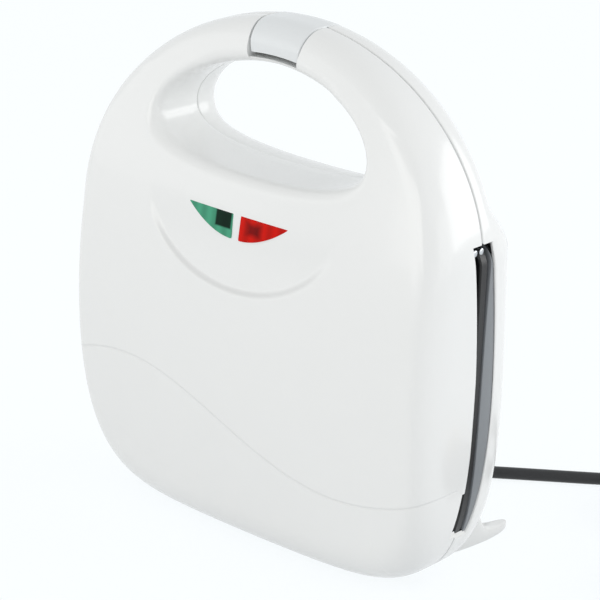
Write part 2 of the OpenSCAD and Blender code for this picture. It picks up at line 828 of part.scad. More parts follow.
// Holder for the two neon lamps, lying on the backs of the lenses.
lamp_x = 9;
lamp_r = 2.6;
holder_x = 18;
holder_h = 7.2;
holder_t = 7;
holder_gap = 0.3;
module lamp_frame() {
    translate([0, lens_y, lens_z]) rotate([lens_tilt, 0, 0]) children();
}
lens_back = lens_t - lens_proud;
module lamp_holder() {
    placed() color("#f4f2ea") lamp_frame() difference() {
        translate([-holder_x, lens_back + holder_gap, -holder_h/2]) cube([2*holder_x, holder_t, holder_h]);
        for (x = [-lamp_x, lamp_x]) {
            translate([x, 0, 0]) rotate([-90, 0, 0])
                cylinder(r = lamp_r + 0.1, h = lens_back + holder_t + 2);
        }
    }
}
module lamp(x) {
    lamp_frame() translate([x, lens_back + holder_gap, 0]) rotate([-90, 0, 0]) {
        cylinder(r = lamp_r, h = holder_t + 2);
        for (s = [-1, 1]) translate([s*1.1, 0, holder_t + 2]) cylinder(r = 0.4, h = 4, $fn = 24);
    }
}
module power_lamp() {
    placed() color("#ff9060") lamp(lamp_x);
}
module ready_lamp() {
    placed() color("#ff9060") lamp(-lamp_x);
}

// The two halves with everything moulded in one piece with them -----------------------

module lid_shell() {
    placed() color("#eceef0") {
        difference() {
            housing_half(LID);
            lid_slot();
            lid_recess();
            both_sides() lens_slab(-4, 8, 0.12);
            translate([-relief_x, -relief_y, -1]) cube([2*relief_x, relief_y + 1, hinge_z + 2]);
            bar_x(latch_pin_r + fit_gap, latch_pin_y, latch_pin_z, -recess_w/2 - 5, recess_w/2 + 5);
        }
        posts(LID);
        both_sides() difference() {
            lug(LID, lid_lug_in, lid_lug_w);
            bar_x(pin_r + run_gap, 0, hinge_z, hinge_in - 1, hinge_out + 1);
        }
    }
}

pad_seat = face_depth(BASE, pad_x, pad_low) - 1;
relief_seat = base_depth - 1;

// Side drawing of a stand foot: flat below, hollowed on top, thin and blunt at its tip.
foot_tip = 4;
foot_power = 2.2;
foot_steps = 10;
foot_root = 22;
module foot_side() {
    y0 = base_depth - 4;
    polygon(concat(
        [[foot_root, 0], [foot_reach - 1.5, 0], [foot_reach, 1.5]],
        [for (k = [0:foot_steps])
            let (s = k/foot_steps, y = mix(foot_reach, y0, s))
            [y, foot_tip + foot_rise*pow(s, foot_power) - (k == 0 ? 1 : 0)]],
        [[foot_root, foot_tip + foot_rise]]));
}
// Plan of a stand foot: bowed outwards along its outer side, rounded at its tip.
module foot_plan() {
    reach = foot_reach - foot_root;
    outer = [for (k = [0:foot_steps])
        let (s = k/foot_steps)
        [foot_x - 8*pow(1 - s, 2) - 5*pow(s, 6), foot_root + reach*s]];
    inner = [for (k = [foot_steps:-1:0])
        let (s = k/foot_steps)
        [foot_x - 8*pow(1 - s, 2) - foot_w + 3*pow(s, 4), foot_root + reach*s]];
    polygon(concat(outer, inner));
}
module stand_foot() {
    intersection() {
        translate([foot_x - foot_w/2, 0, 0]) across(foot_w*4) foot_side();
        linear_extrude(foot_tip + foot_rise + 2) foot_plan();
    }
}

module base_shell() {
    placed() color("#eceef0") {
        difference() {
            union() {
                housing_half(BASE);
                both_sides() stand_foot();
            }
            base_slot();
            base_recess();
            both_sides() {
                translate([lid_lug_in - slack, -1, -1])
                    cube([lid_lug_w + 2*slack, lug_r + 4, hinge_z + lug_r + 2]);
                for (z = [pad_low, pad_high]) {
                    bar_y(pad_r + 0.1, pad_x, z, pad_seat, pad_seat + 9);
                }
            }
            bar_x(conduit_r + 0.1, 0, hinge_z, -hinge_in + 1, hinge_in - 1);
            bar_y(flange_r + 0.2, 0, cord_exit_z, relief_seat, relief_seat + 9);
            bar_y(neck_r + 0.1, 0, cord_exit_z, relief_seat - 9, relief_seat + 9);
        }
        posts(BASE);
        both_sides() difference() {
            union() {
                lug(BASE, hinge_in, base_lug_w);
                lug(BASE, lid_lug_in + lid_lug_w + slack, base_lug_w);
            }
            bar_x(pin_r + fit_gap, 0, hinge_z, hinge_in - 1, hinge_out + 1);
        }
    }
}

// Heat-resistant frame behind the lower plate's flange, seen as a band in the side slots.
frame_back = slot_base_cut + 2;
frame_lean = 5.6;
frame_bend_z = 118;
module base_rim_frame() {
    placed() color("#85868c") difference() {
        through(flange_back, frame_back) difference() {
            plate_outline(plate_clear - 0.3);
            rounded_box(-pan_x - 0.5, pan_x + 0.5, pan_low - 0.5, pan_high + 0.5, pan_corner);
        }
        across(body_w) polygon(concat(
            [for (k = [0:8]) let (s = k/8)
                [flange_back + frame_lean*pow(s, 1.6), mix(frame_bend_z, slot_high, s)]],
            [[0, slot_high], [0, frame_bend_z]]));
        both_sides() {
            for (k = [0, 1]) bar_y(post_r + 0.3, screw_xs[k], screw_zs[k], 0, 40);
        }
    }
}

// Hinge --------------------------------------------------------------------------------

module hinge_pins() {
    placed() color("silver") both_sides()
        bar_x(pin_r, 0, hinge_z, hinge_in + 0.5, hinge_out - 0.5);
}
module wire_conduit() {
    placed() color("#3a3b3d") difference() {
        bar_x(conduit_r, 0, hinge_z, -hinge_in + 1.5, hinge_in - 1.5);
        bar_x(conduit_r - 1.2, 0, hinge_z, -hinge_in, hinge_in);
    }
}

module rubber_feet() {
    placed() color("#2c2c2e") both_sides() for (z = [pad_low, pad_high]) {
        bar_y(pad_r, pad_x, z, pad_seat, pad_seat + 1 + pad_out);
    }
}

// Mains entry --------------------------------------------------------------------------

flange_r = 9;
neck_r = cord_d/2 + 1.6;
neck_in = relief_seat - 8;
relief_end = relief_seat + 3 + relief_len;
clamp_t = 6;
clamp_y = neck_in - clamp_t;
floor_seat = wall + 3.9;

module strain_relief() {
    placed() color("#242426") {
        bar_y(flange_r, 0, cord_exit_z, relief_seat, relief_seat + 3);
        bar_y(neck_r, 0, cord_exit_z, neck_in, relief_seat);
        bar_y(cord_d/2 - fit_gap, 0, cord_exit_z, clamp_y - 3, neck_in);
        translate([0, relief_seat + 3, cord_exit_z]) rotate([-90, 0, 0])
            cylinder(r1 = cord_d/2 + 2.6, r2 = cord_d/2 + 0.9, h = relief_len);
    }
}

// Saddle that grips the lead inside the base, with its two screws.
module cord_clamp() {
    placed() color("#e6e3da") difference() {
        translate([-14, clamp_y, floor_seat]) cube([28, clamp_t, cord_exit_z + 7.4 - floor_seat]);
        bar_y(cord_d/2, 0, cord_exit_z, clamp_y - 1, neck_in + 1);
        for (s = [-1, 1]) {
            translate([s*10, clamp_y + clamp_t/2, cord_exit_z]) cylinder(r = screw_r + fit_gap, h = 20);
        }
    }
}
module cord_clamp_screws() {
    placed() color("silver") for (s = [-1, 1]) {
        translate([s*10, clamp_y + clamp_t/2, cord_exit_z + 1]) cylinder(r = screw_r, h = 6.4);
        translate([s*10, clamp_y + clamp_t/2, cord_exit_z + 7.4]) cylinder(r = screw_head_r - 0.4, h = 1.6);
    }
}

// Three-way terminal block beside the clamp.
block_x = 20;
block_pitch = 10;
block_t = 9;
block_h = 14;
wire_r = 1.6;

module terminal_block() {
    placed() color("#ece9df") difference() {
        translate([block_x, neck_in - block_t, floor_seat]) cube([3*block_pitch, block_t, block_h]);
        for (k = [0:2]) {
            bar_y(wire_r, block_x + (k + 0.5)*block_pitch, floor_seat + block_h/2,
                  neck_in - block_t - 1, neck_in + 1);
        }
    }
}

// Mains lead ---------------------------------------------------------------------------

// Route of the lead after the strain relief, and from the coil to the plug.
lead_points = [
    [0, 70, 17.6], [0.5, 77, 16], [2, 84, 13.3], [4.5, 91, 10], [8.5, 98, 7],
    [14, 104.5, 4.8], [21, 110.5, 3.7], [29.5, 115.8, 3.3], [39, 122, 3.3], [47, 128, 3.3],
    [55, 134, 3.3], [67, 143, 3.3], [79, 152, 3.3], [91, 161, 3.4], [103, 170, 3.7],
    [113, 177.5, 4], [121.4, 183.8, 4.1]
];
tail_points = [
    [184.2, 152.4, 10.6], [184.4, 146, 10.4], [184.6, 139, 10.2], [184.7, 131, 10.1],
    [184.7, 122.5, 10], [184.7, 114.4, 10]
];
coil_centre = [145, 152.4];
coil_turn_r = 36;
coil_base = 0.8;
cord_sides = 10;

function unit(v) = v/norm(v);
function heading(pts, k) =
    unit(pts[min(k + 1, len(pts) - 1)] - pts[max(k - 1, 0)]);
function ring_at(p, dir, r) =
    let (side = unit(cross(dir, [0, 0, 1])), up = cross(side, dir))
    [for (k = [0:cord_sides - 1])
        let (a = 360*(k + 0.5)/cord_sides)
        p + r*(cos(a)*side + sin(a)*up)];
module tube(pts, r) {
    n = len(pts);
    rings = [for (k = [0:n - 1]) ring_at(pts[k], heading(pts, k), r)];
    polyhedron(
        points = [for (ring = rings, p = ring) p],
        faces = concat(
            [[for (k = [0:cord_sides - 1]) k]],
            [for (k = [0:n - 2], s = [0:cord_sides - 1])
                let (a = k*cord_sides + s, b = k*cord_sides + (s + 1) % cord_sides)
                [a, a + cord_sides, b + cord_sides, b]],
            [[for (k = [cord_sides - 1:-1:0]) (n - 1)*cord_sides + k]]));
}
module cord_lead() {
    placed() color("#232325") tube(concat([[0, relief_end, cord_exit_z]], lead_points), cord_d/2);
}
module cord_tail() {
    placed() color("#232325") tube(tail_points, cord_d/2);
}
module cord_coil() {
    placed() color("#232325") translate([coil_centre[0], coil_centre[1], 0]) rotate_extrude()
        translate([coil_turn_r - cord_d, coil_base]) square([2*cord_d, 2*cord_d]);
}
tie_w = 8;
tie_t = 0.8;
module cord_tie() {
    placed() color("#1c1c1e")
        translate([coil_centre[0] - tie_w/2, coil_centre[1] - coil_turn_r, coil_base + cord_d])
        rotate([90, 0, 90]) linear_extrude(tie_w) difference() {
            square(2*(cord_d + tie_t), center = true);
            square(2*cord_d + 0.6, center = true);
        }
}

// Three-pin plug lying on its back, with its pins up.
plug_x = 184.7;
plug_y = 108;
cover_w = plug_w*0.2;
cover_len = plug_len*0.55;
cover_t = 4;
module plug_body() {
    placed() color("#232325") {
        difference() {
            translate([plug_x, plug_y - plug_len, 0]) linear_extrude(plug_t)
                rounded_box(-plug_w/2, plug_w/2, 0, plug_len, 7);
            translate([plug_x, plug_y - plug_len/2, plug_t])
                cube([cover_w + 0.4, cover_len + 0.4, 2*cover_t], center = true);
        }
        bar_y(5, plug_x, plug_t/2, plug_y, plug_y + 6.4);
    }
}
module plug_pins() {
    placed() color("#c8a24a") {
        translate([plug_x - 2, plug_y - plug_len + 5, plug_t]) cube([4, 6, 14]);
        for (s = [-1, 1]) {
            translate([plug_x + s*11 - 3, plug_y - 16, plug_t]) cube([6, 4, 12]);
        }
    }
}
module plug_fuse_cover() {
    placed() color("#3a1d1d")
        translate([plug_x - cover_w/2, plug_y - plug_len/2 - cover_len/2, plug_t - cover_t])
            cube([cover_w, cover_len, cover_t - 0.2]);
}

base_shell();
base_rim_frame();
lower_plate();
lower_element();
lower_reflector();
lower_plate_screws();
lower_side_screws();
lower_reflector_screws();
thermostat();
thermal_fuse();
terminal_block();
hinge_pins();
wire_conduit();
rubber_feet();
lid_shell();
upper_plate();
upper_element();
upper_reflector();
upper_plate_screws();
upper_side_screws();
upper_reflector_screws();
green_lens();
red_lens();
lamp_holder();
power_lamp();
ready_lamp();
latch_pin();
latch();
strain_relief();
cord_clamp();
cord_clamp_screws();
cord_lead();
cord_coil();
cord_tail();
cord_tie();
plug_body();
plug_pins();
plug_fuse_cover();
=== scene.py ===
import logging
import math
from dataclasses import dataclass, field
from enum import Enum
from typing import Callable, Dict, List, Optional, Sequence, Tuple, Union

import bpy
import numpy as np
from mathutils import Matrix


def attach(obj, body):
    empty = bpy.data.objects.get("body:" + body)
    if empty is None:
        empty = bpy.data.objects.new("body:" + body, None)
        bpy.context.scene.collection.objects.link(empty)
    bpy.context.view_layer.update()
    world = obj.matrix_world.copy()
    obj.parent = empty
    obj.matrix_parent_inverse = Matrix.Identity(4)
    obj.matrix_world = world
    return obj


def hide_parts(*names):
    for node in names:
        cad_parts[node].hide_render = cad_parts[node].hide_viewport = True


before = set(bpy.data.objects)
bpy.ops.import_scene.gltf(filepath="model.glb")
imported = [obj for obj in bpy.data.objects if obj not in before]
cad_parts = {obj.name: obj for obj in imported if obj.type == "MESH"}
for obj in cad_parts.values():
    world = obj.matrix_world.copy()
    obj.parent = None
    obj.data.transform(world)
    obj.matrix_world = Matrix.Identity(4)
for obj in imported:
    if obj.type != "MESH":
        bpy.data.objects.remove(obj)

log = logging.getLogger("toaster")
MM = 0.001
QUARTER = math.pi / 2
FULL = 2 * math.pi
PARTING_Y = -16 * MM
HINGE_Z = 7 * MM

Triple = Tuple[float, float, float]
Socket = bpy.types.NodeSocket
Array = np.ndarray
Points = np.ndarray
Rows = Tuple[np.ndarray, np.ndarray]


class Side(Enum):
    """Which half of the clamshell a surface belongs to; the value is its sign along Y."""

    LID = -1
    BASE = 1


class Axis(Enum):
    """Axis that a profile is turned about; the value is the order of a ring's coordinates."""

    X = (2, 0, 1)
    Y = (0, 2, 1)


# ---- Node helpers ----


def linear(hex_colour: str) -> Tuple[float, float, float, float]:
    """Turn an sRGB hex colour into the linear values that shader sockets expect.

    Args:
        hex_colour: colour such as "#e8e9e8".

    Returns:
        Red, green, blue and alpha as linear values.
    """
    parts = [int(hex_colour[i : i + 2], 16) / 255 for i in (1, 3, 5)]
    out = [c / 12.92 if c <= 0.04045 else ((c + 0.055) / 1.055) ** 2.4 for c in parts]
    return out[0], out[1], out[2], 1.0


class Graph:
    """A node tree while it is put together: sockets go in and a socket comes out."""

    def __init__(self, owner: Union[bpy.types.Material, bpy.types.World]) -> None:
        """Empty the node tree of a material or of a world."""
        owner.use_nodes = True
        self.tree = owner.node_tree
        self.tree.nodes.clear()

    def add(self, kind: str, settings: Optional[dict] = None, links: Optional[dict] = None) -> bpy.types.Node:
        """Add one node, set its values and connect its inputs.

        Args:
            kind: Blender's type name without its prefix, such as "TexNoise".
            settings: attributes, or inputs by name or number, with their values.
            links: inputs by name or number, with the sockets that feed them.

        Returns:
            The new node.
        """
        node = self.tree.nodes.new("ShaderNode" + kind)
        for key, value in (settings or {}).items():
            if isinstance(key, str) and hasattr(node, key) and key not in node.inputs:
                setattr(node, key, value)
            else:
                node.inputs[key].default_value = value
        for key, socket in (links or {}).items():
            self.tree.links.new(socket, node.inputs[key])
        return node

    def coords(self) -> Socket:
        """Object coordinates, which are metres."""
        return self.add("TexCoord").outputs["Object"]

    def calc(self, operation: str, a: Union[float, Socket], b: Union[float, Socket] = 0.0,
             clamp: bool = False) -> Socket:
        """Work out one step of arithmetic.

        Args:
            operation: name of a Math node's operation.
            a: first number or socket.
            b: second number or socket.
            clamp: whether the result is held between 0 and 1.

        Returns:
            The result.
        """
        node = self.add("Math", {"operation": operation, "use_clamp": clamp})
        for slot, value in zip(node.inputs, (a, b)):
            if isinstance(value, Socket):
                self.tree.links.new(value, slot)
            else:
                slot.default_value = value
        return node.outputs[0]

    def remap(self, value: Socket, to: Tuple[float, float], start: Tuple[float, float] = (0.0, 1.0),
              kind: str = "LINEAR") -> Socket:
        """Carry a value from one range to another.

        Args:
            value: socket with the value.
            to: range of the result, which is held at both ends.
            start: range of the value.
            kind: "LINEAR" or "SMOOTHSTEP".

        Returns:
            The result.
        """
        settings = {"interpolation_type": kind, "From Min": start[0], "From Max": start[1],
                    "To Min": to[0], "To Max": to[1]}
        return self.add("MapRange", settings, {"Value": value}).outputs["Result"]

    def noise(self, vector: Socket, size: float, detail: float = 2.0, rough: float = 0.5) -> Socket:
        """Soft noise whose lumps are `size` metres apart."""
        settings = {"Scale": 1 / size, "Detail": detail, "Roughness": rough}
        return self.add("TexNoise", settings, {"Vector": vector}).outputs["Fac"]

    def mix(self, factor: Socket, first: Sequence[float], second: Sequence[float]) -> Socket:
        """Colour between two, by a factor from 0 to 1."""
        settings = {"data_type": "RGBA", 6: first, 7: second}
        return self.add("Mix", settings, {"Factor": factor}).outputs[2]

    def times(self, colour: Socket, factor: Socket) -> Socket:
        """Colour made lighter or darker by a factor."""
        node = self.add("VectorMath", {"operation": "SCALE"}, {0: colour, "Scale": factor})
        return node.outputs["Vector"]

    def bump(self, height: Socket, distance: float, under: Optional[Socket] = None) -> Socket:
        """Normal over a surface raised by `height` times `distance` metres, on top of another."""
        links = {"Height": height, "Normal": under} if under else {"Height": height}
        return self.add("Bump", {"Strength": 1.0, "Distance": distance}, links).outputs["Normal"]


# ---- Finishes ----


@dataclass(frozen=True)
class Surface:
    """What every finish has: a name, a main colour, fixed values and layers that vary."""

    name: str
    colour: str

    def constants(self) -> Dict[str, float]:
        """Values that are the same all over, for the shader's own sockets."""
        raise NotImplementedError

    def layers(self, graph: Graph) -> Dict[str, Socket]:
        """Sockets that change over the surface, by the shader's input names."""
        raise NotImplementedError

    def material(self) -> bpy.types.Material:
        """Build the shader from its constants and layers.

        Returns:
            The material.
        """
        mat = bpy.data.materials.new(self.name)
        graph = Graph(mat)
        shader = graph.add("BsdfPrincipled", self.constants(), self.layers(graph))
        graph.add("OutputMaterial", {}, {"Surface": shader.outputs["BSDF"]})
        return mat


@dataclass(frozen=True)
class Finish(Surface):
    """A solid finish with fine grain in its surface and slight changes of tone.

    `grain` is the distance between the grain's bumps and `relief` their height, in metres.
    The tone and the roughness both follow a broad noise of size `blotch`.
    """

    roughness: float
    metallic: float = 0.0
    specular: float = 0.5
    grain: float = 0.4 * MM
    relief: float = 0.004 * MM
    tone: float = 0.02
    blotch: float = 30 * MM
    coat: float = 0.0
    coat_roughness: float = 0.06
    roughness_swing: float = 0.1
    stretch: Triple = (1.0, 1.0, 1.0)

    def constants(self) -> Dict[str, float]:
        """Metal share, gloss and clear coat."""
        return {"Metallic": self.metallic, "Specular IOR Level": self.specular,
                "Coat Weight": self.coat, "Coat Roughness": self.coat_roughness}

    def layers(self, graph: Graph) -> Dict[str, Socket]:
        """Tone, roughness and grain.

        Args:
            graph: tree to build in.

        Returns:
            Base colour and roughness, each within its swing, and the normal over the grain.
        """
        coords = graph.coords()
        place = graph.add("Mapping", {"Scale": self.stretch}, {"Vector": coords})
        grain = graph.noise(place.outputs["Vector"], self.grain, detail=3.0, rough=0.6)
        blotch = graph.noise(coords, self.blotch)
        base = np.array(linear(self.colour)[:3])
        dark, light = (np.append(np.minimum(1.0, base * (1 + k * self.tone)), 1.0) for k in (-1, 1))
        rough = (self.roughness * (1 - self.roughness_swing), self.roughness * (1 + self.roughness_swing))
        return {"Base Color": graph.mix(blotch, dark, light), "Roughness": graph.remap(blotch, rough),
                "Normal": graph.bump(grain, self.relief)}


@dataclass(frozen=True)
class LidPlastic(Finish):
    """The white housing plastic with the lid's two fine moulded lines.

    The groove follows half a sine across the lower face: its distance is the height over
    that curve. The crescent is the edge of the dish: its distance comes from the radius in
    an ellipse. Both are bumps on the face in front of `front_y`, and the groove also carries
    painted shade, which darkens its colour.
    """

    groove_x: float = -2 * MM
    groove_z: float = 65.5 * MM
    groove_rise: float = 18.5 * MM
    groove_half: float = 132 * MM
    groove_w: float = 0.9 * MM
    groove_depth: float = 0.28 * MM
    # share by which painted shade darkens the groove's colour
    groove_shade: float = 0.035
    dish_z: float = 179 * MM
    dish_half: float = 59 * MM
    dish_drop: float = 42 * MM
    dish_edge: float = 4.5 * MM
    dish_depth: float = 2.2 * MM
    dish_fade: Tuple[float, float] = (150 * MM, 176 * MM)
    front_y: float = -24 * MM

    def groove(self, graph: Graph, x: Socket, z: Socket) -> Socket:
        """The groove: 1 on the curve z = groove_z - groove_rise sin(pi (x - groove_x) / groove_half).

        Args:
            graph: tree to build in.
            x: place across.
            z: height.

        Returns:
            Share of the groove's depth, which falls to 0 at its width.
        """
        phase = graph.calc("MULTIPLY", graph.calc("SUBTRACT", x, self.groove_x), math.pi / self.groove_half)
        swing = graph.calc("MULTIPLY", graph.calc("SINE", phase), self.groove_rise)
        over = graph.calc("ADD", graph.calc("SUBTRACT", z, self.groove_z), swing)
        share = graph.calc("DIVIDE", graph.calc("ABSOLUTE", over), self.groove_w)
        return graph.calc("SUBTRACT", 1.0, share, True)

    def dish(self, graph: Graph, x: Socket, z: Socket) -> Socket:
        """The dish: a smooth step at radius 1 of its ellipse, faded out at its upper ends.

        Args:
            graph: tree to build in.
            x: place across.
            z: height.

        Returns:
            Share of the dish's depth.
        """
        across = graph.calc("DIVIDE", x, self.dish_half)
        down = graph.calc("DIVIDE", graph.calc("SUBTRACT", z, self.dish_z), self.dish_drop)
        squares = (graph.calc("MULTIPLY", share, share) for share in (across, down))
        inward = graph.calc("SUBTRACT", 1.0, graph.calc("SQRT", graph.calc("ADD", *squares)))
        distance = graph.calc("MULTIPLY", inward, self.dish_drop / self.dish_edge)
        step = graph.remap(distance, (0.0, 1.0), (-0.5, 0.5), "SMOOTHSTEP")
        return graph.calc("MULTIPLY", step, graph.remap(z, (1.0, 0.0), self.dish_fade, "SMOOTHSTEP"))

    def layers(self, graph: Graph) -> Dict[str, Socket]:
        """The plain finish with both lines in its bump, and painted shade that darkens the groove.

        Args:
            graph: tree to build in.

        Returns:
            The plain finish's layers, with a new base colour and normal.
        """
        plain = super().layers(graph)
        axes = graph.add("SeparateXYZ", {}, {0: graph.coords()})
        x, y, z = (axes.outputs[n] for n in "XYZ")
        front = graph.calc("LESS_THAN", y, self.front_y)
        groove = graph.calc("MULTIPLY", self.groove(graph, x, z), front)
        dish = graph.calc("MULTIPLY", self.dish(graph, x, z), front)
        height = graph.calc("ADD", graph.calc("MULTIPLY", groove, -self.groove_depth),
                            graph.calc("MULTIPLY", dish, -self.dish_depth))
        # painted shade: the base colour darkens along the groove
        tone = graph.remap(groove, (1.0, 1 - self.groove_shade))
        return {**plain, "Base Color": graph.times(plain["Base Color"], tone),
                "Normal": graph.bump(height, 1.0, plain["Normal"])}


@dataclass(frozen=True)
class NonStick(Surface):
    """Black non-stick coating with fine metallic specks, as sprayed on cast plates.

    A speck is the middle of a cell of size `speck_size`, kept where a broader noise is high.
    """

    speck_colour: str
    speck_size: float = 0.5 * MM
    speck_rim: Tuple[float, float] = (0.10, 0.22)
    speck_share: float = 0.56
    grain: float = 0.7 * MM
    relief: float = 0.02 * MM
    roughness: float = 0.38

    def constants(self) -> Dict[str, float]:
        """Roughness of the coat."""
        return {"Roughness": self.roughness}

    def layers(self, graph: Graph) -> Dict[str, Socket]:
        """Specks in the colour and grain in the normal.

        Args:
            graph: tree to build in.

        Returns:
            Base colour and normal.
        """
        coords = graph.coords()
        cells = graph.add("TexVoronoi", {"Scale": 1 / self.speck_size}, {"Vector": coords})
        middle = graph.remap(cells.outputs["Distance"], (1.0, 0.0), self.speck_rim)
        kept = graph.calc("GREATER_THAN", graph.noise(coords, 4 * self.speck_size), self.speck_share)
        specks = graph.calc("MULTIPLY", middle, kept)
        return {"Base Color": graph.mix(specks, linear(self.colour), linear(self.speck_colour)),
                "Normal": graph.bump(graph.noise(coords, self.grain, detail=3.0), self.relief)}


@dataclass(frozen=True)
class LensPlastic(Surface):
    """Tinted clear plastic over a lamp: painted shade darkens it where the lamp's holder sits behind it.

    `lamp` is the centre of the block of painted shade behind the lens and `reach` its half
    sizes, in metres. The block's edge is `blur` wide, as a share of those half sizes. Upright
    bands of painted light and shade stand for the lens's fine ribs.
    """

    # colour of the painted shade behind the lens
    dark: str
    lamp: Triple
    reach: Triple
    blur: float = 0.15
    rib: float = 22 * MM
    rib_shading: Tuple[float, float] = (0.8, 1.05)
    roughness: float = 0.25
    specular: float = 0.1

    def constants(self) -> Dict[str, float]:
        """Satin plastic with little gloss."""
        return {"Roughness": self.roughness, "Specular IOR Level": self.specular}

    def layers(self, graph: Graph) -> Dict[str, Socket]:
        """Tint, a block of painted shade, and bands of painted light and shade for the ribs.

        Args:
            graph: tree to build in.

        Returns:
            Base colour.
        """
        coords = graph.coords()
        scale = 1 / np.array(self.reach)
        centred = {"Location": -np.array(self.lamp) * scale, "Scale": scale}
        place = graph.add("Mapping", centred, {"Vector": coords})
        axes = graph.add("SeparateXYZ", {}, {0: place.outputs["Vector"]})
        across, up = (graph.calc("ABSOLUTE", axes.outputs[n]) for n in "XZ")
        # painted shade: the tint darkens to `dark` inside a block at the lamp holder's place
        block = graph.remap(graph.calc("MAXIMUM", across, up), (1.0, 0.0), (1 - self.blur, 1 + self.blur))
        # painted light and shade: bands across the lens stand for its fine ribs
        ribs = graph.add("TexWave", {"bands_direction": "X", "Scale": 1 / self.rib}, {"Vector": coords})
        colour = graph.mix(block, linear(self.colour), linear(self.dark))
        return {"Base Color": graph.times(colour, graph.remap(ribs.outputs["Fac"], self.rib_shading))}


ABS = {"roughness": 0.22, "grain": 0.5 * MM, "relief": 0.0015 * MM, "tone": 0.006, "coat": 0.2}
# White ABS housing, moulded with a light gloss.
WHITE = Finish("white_abs", "#e9eae9", **ABS)
# The same plastic on the lid, with its wave groove, painted shade in that groove, and the edge of its dish.
LID_WHITE = LidPlastic("lid_white_abs", "#e9eae9", **ABS)
# The latch is a separate moulding, a little greyer.
LATCH_WHITE = Finish("latch_abs", "#e0e3e4", **{**ABS, "roughness": 0.26, "coat": 0.3})
# Grey heat-resistant plastic of the rim frame.
GREY = Finish("grey_heat_plastic", "#82868a", 0.45, grain=0.35 * MM, relief=0.006 * MM)
# Matt black rubber of the feet and the strain relief, and black plastic with a satin skin.
RUBBER = Finish("black_rubber", "#1d1d1f", 0.62, specular=0.35, grain=0.3 * MM, relief=0.01 * MM, tone=0.08)
BLACK = Finish("black_plastic", "#202022", 0.4, grain=0.3 * MM, relief=0.006 * MM, tone=0.05)
# Smooth PVC sheath of the mains lead.
LEAD_PVC = Finish("lead_pvc", "#202022", 0.33, grain=0.5 * MM, relief=0.005 * MM, tone=0.06)
# Zinc-plated steel of screws and pins, pale and bright.
STEEL = Finish("zinc_steel", "#c9ccd0", 0.28, metallic=1.0, grain=0.3 * MM, tone=0.05)
# Brass of the plug's pins, with drawing lines along them.
BRASS = Finish("pin_brass", "#c9a25a", 0.3, metallic=1.0, grain=0.3 * MM, relief=0.003 * MM, tone=0.05,
               stretch=(1.0, 1.0, 0.08))
# Oxidised steel sheath of the heating elements, brownish and patchy.
SHEATH = Finish("element_sheath", "#6a655f", 0.55, metallic=0.8, grain=0.6 * MM, relief=0.01 * MM, tone=0.15,
                blotch=12 * MM)
# Aluminised sheet of the reflectors, with its spangle.
ALUMINISED = Finish("aluminised_sheet", "#c9cccf", 0.3, metallic=1.0, grain=0.5 * MM, relief=0.006 * MM,
                    tone=0.08, blotch=6 * MM)
# Cream ceramic of the thermostat, clamp and terminal block.
CERAMIC = Finish("ceramic", "#ddd6c8", 0.5, grain=0.6 * MM, relief=0.01 * MM, tone=0.04)
# Woven glass-fibre sleeve over the thermal fuse.
SLEEVE = Finish("glass_sleeve", "#dcd8cc", 0.8, grain=0.5 * MM, relief=0.04 * MM, tone=0.08,
                stretch=(1.0, 1.0, 0.5))
# Uncoloured nylon of the lamp holder.
NATURAL = Finish("natural_nylon", "#e6e2d2", 0.5, tone=0.03)
# Orange glass of the neon lamps.
NEON = Finish("neon_glass", "#e89a78", 0.15, tone=0.05, coat=0.5)
# Dark red fuse cover of the plug.
FUSE = Finish("fuse_cover", "#3a1a1a", 0.4, tone=0.05)
# Cast aluminium plates with a speckled black non-stick coat.
NONSTICK = NonStick("nonstick_coat", "#141416", "#4a4c50")


# ---- Skins: closed surfaces gathered into meshes ----


def points(*coords: Union[float, Array]) -> Points:
    """Points from their coordinates, which may be numbers or arrays that fit each other."""
    return np.stack(np.broadcast_arrays(*coords), -1)


def reach_along(line: Points) -> Array:
    """Distance along a line of points, from 0 at its first."""
    return np.concatenate([[0], np.cumsum(np.linalg.norm(np.diff(line, axis=0), axis=1))])


def walk(line: Points, distance: Array, values: Optional[Points] = None) -> Points:
    """Points of a line at distances along it.

    Args:
        line: the line's points.
        distance: distances from its first point.
        values: other values that belong to its points, to be read in their place.

    Returns:
        Points or values, as straight-line shares between the two nearest points.
    """
    run = reach_along(line)
    return points(*(np.interp(distance, run, v) for v in (line if values is None else values).T))


def unit(vectors: Array) -> Array:
    """The same directions with length 1."""
    return vectors / np.linalg.norm(vectors, axis=-1)[..., None]


@dataclass
class Skin:
    """One closed surface: vertices as an (n, 3) array in metres, with its quads and triangles."""

    verts: Points
    quads: Array
    tris: Array = field(default_factory=lambda: np.zeros((0, 3), int))

    def volume(self) -> float:
        """Signed volume.

        Returns:
            The sum of the tetrahedra that the faces make with the origin, a . (b x c) / 6.
        """
        corners = np.vstack([self.quads[:, [0, 1, 2]], self.quads[:, [0, 2, 3]], self.tris])
        a, b, c = (self.verts[corners[:, k]] for k in range(3))
        return float(np.einsum("ij,ij->", a, np.cross(b, c))) / 6

    def outward(self) -> "Skin":
        """The same skin with its faces turned outwards."""
        return self if self.volume() > 0 else Skin(self.verts, self.quads[:, ::-1], self.tris[:, ::-1])

    def moved(self, verts: Points) -> "Skin":
        """The same faces over other vertices."""
        return Skin(verts, self.quads, self.tris).outward()

    def mirrored(self) -> "Skin":
        """The mirror image across X = 0."""
        return self.moved(self.verts * [-1.0, 1.0, 1.0])

    def with_mirror(self) -> List["Skin"]:
        """The skin and its mirror image across X = 0."""
        return [self, self.mirrored()]

    def flipped_y(self) -> "Skin":
        """The mirror image across the parting plane."""
        return self.moved(self.verts * [1.0, -1.0, 1.0] + [0.0, 2 * PARTING_Y, 0.0])


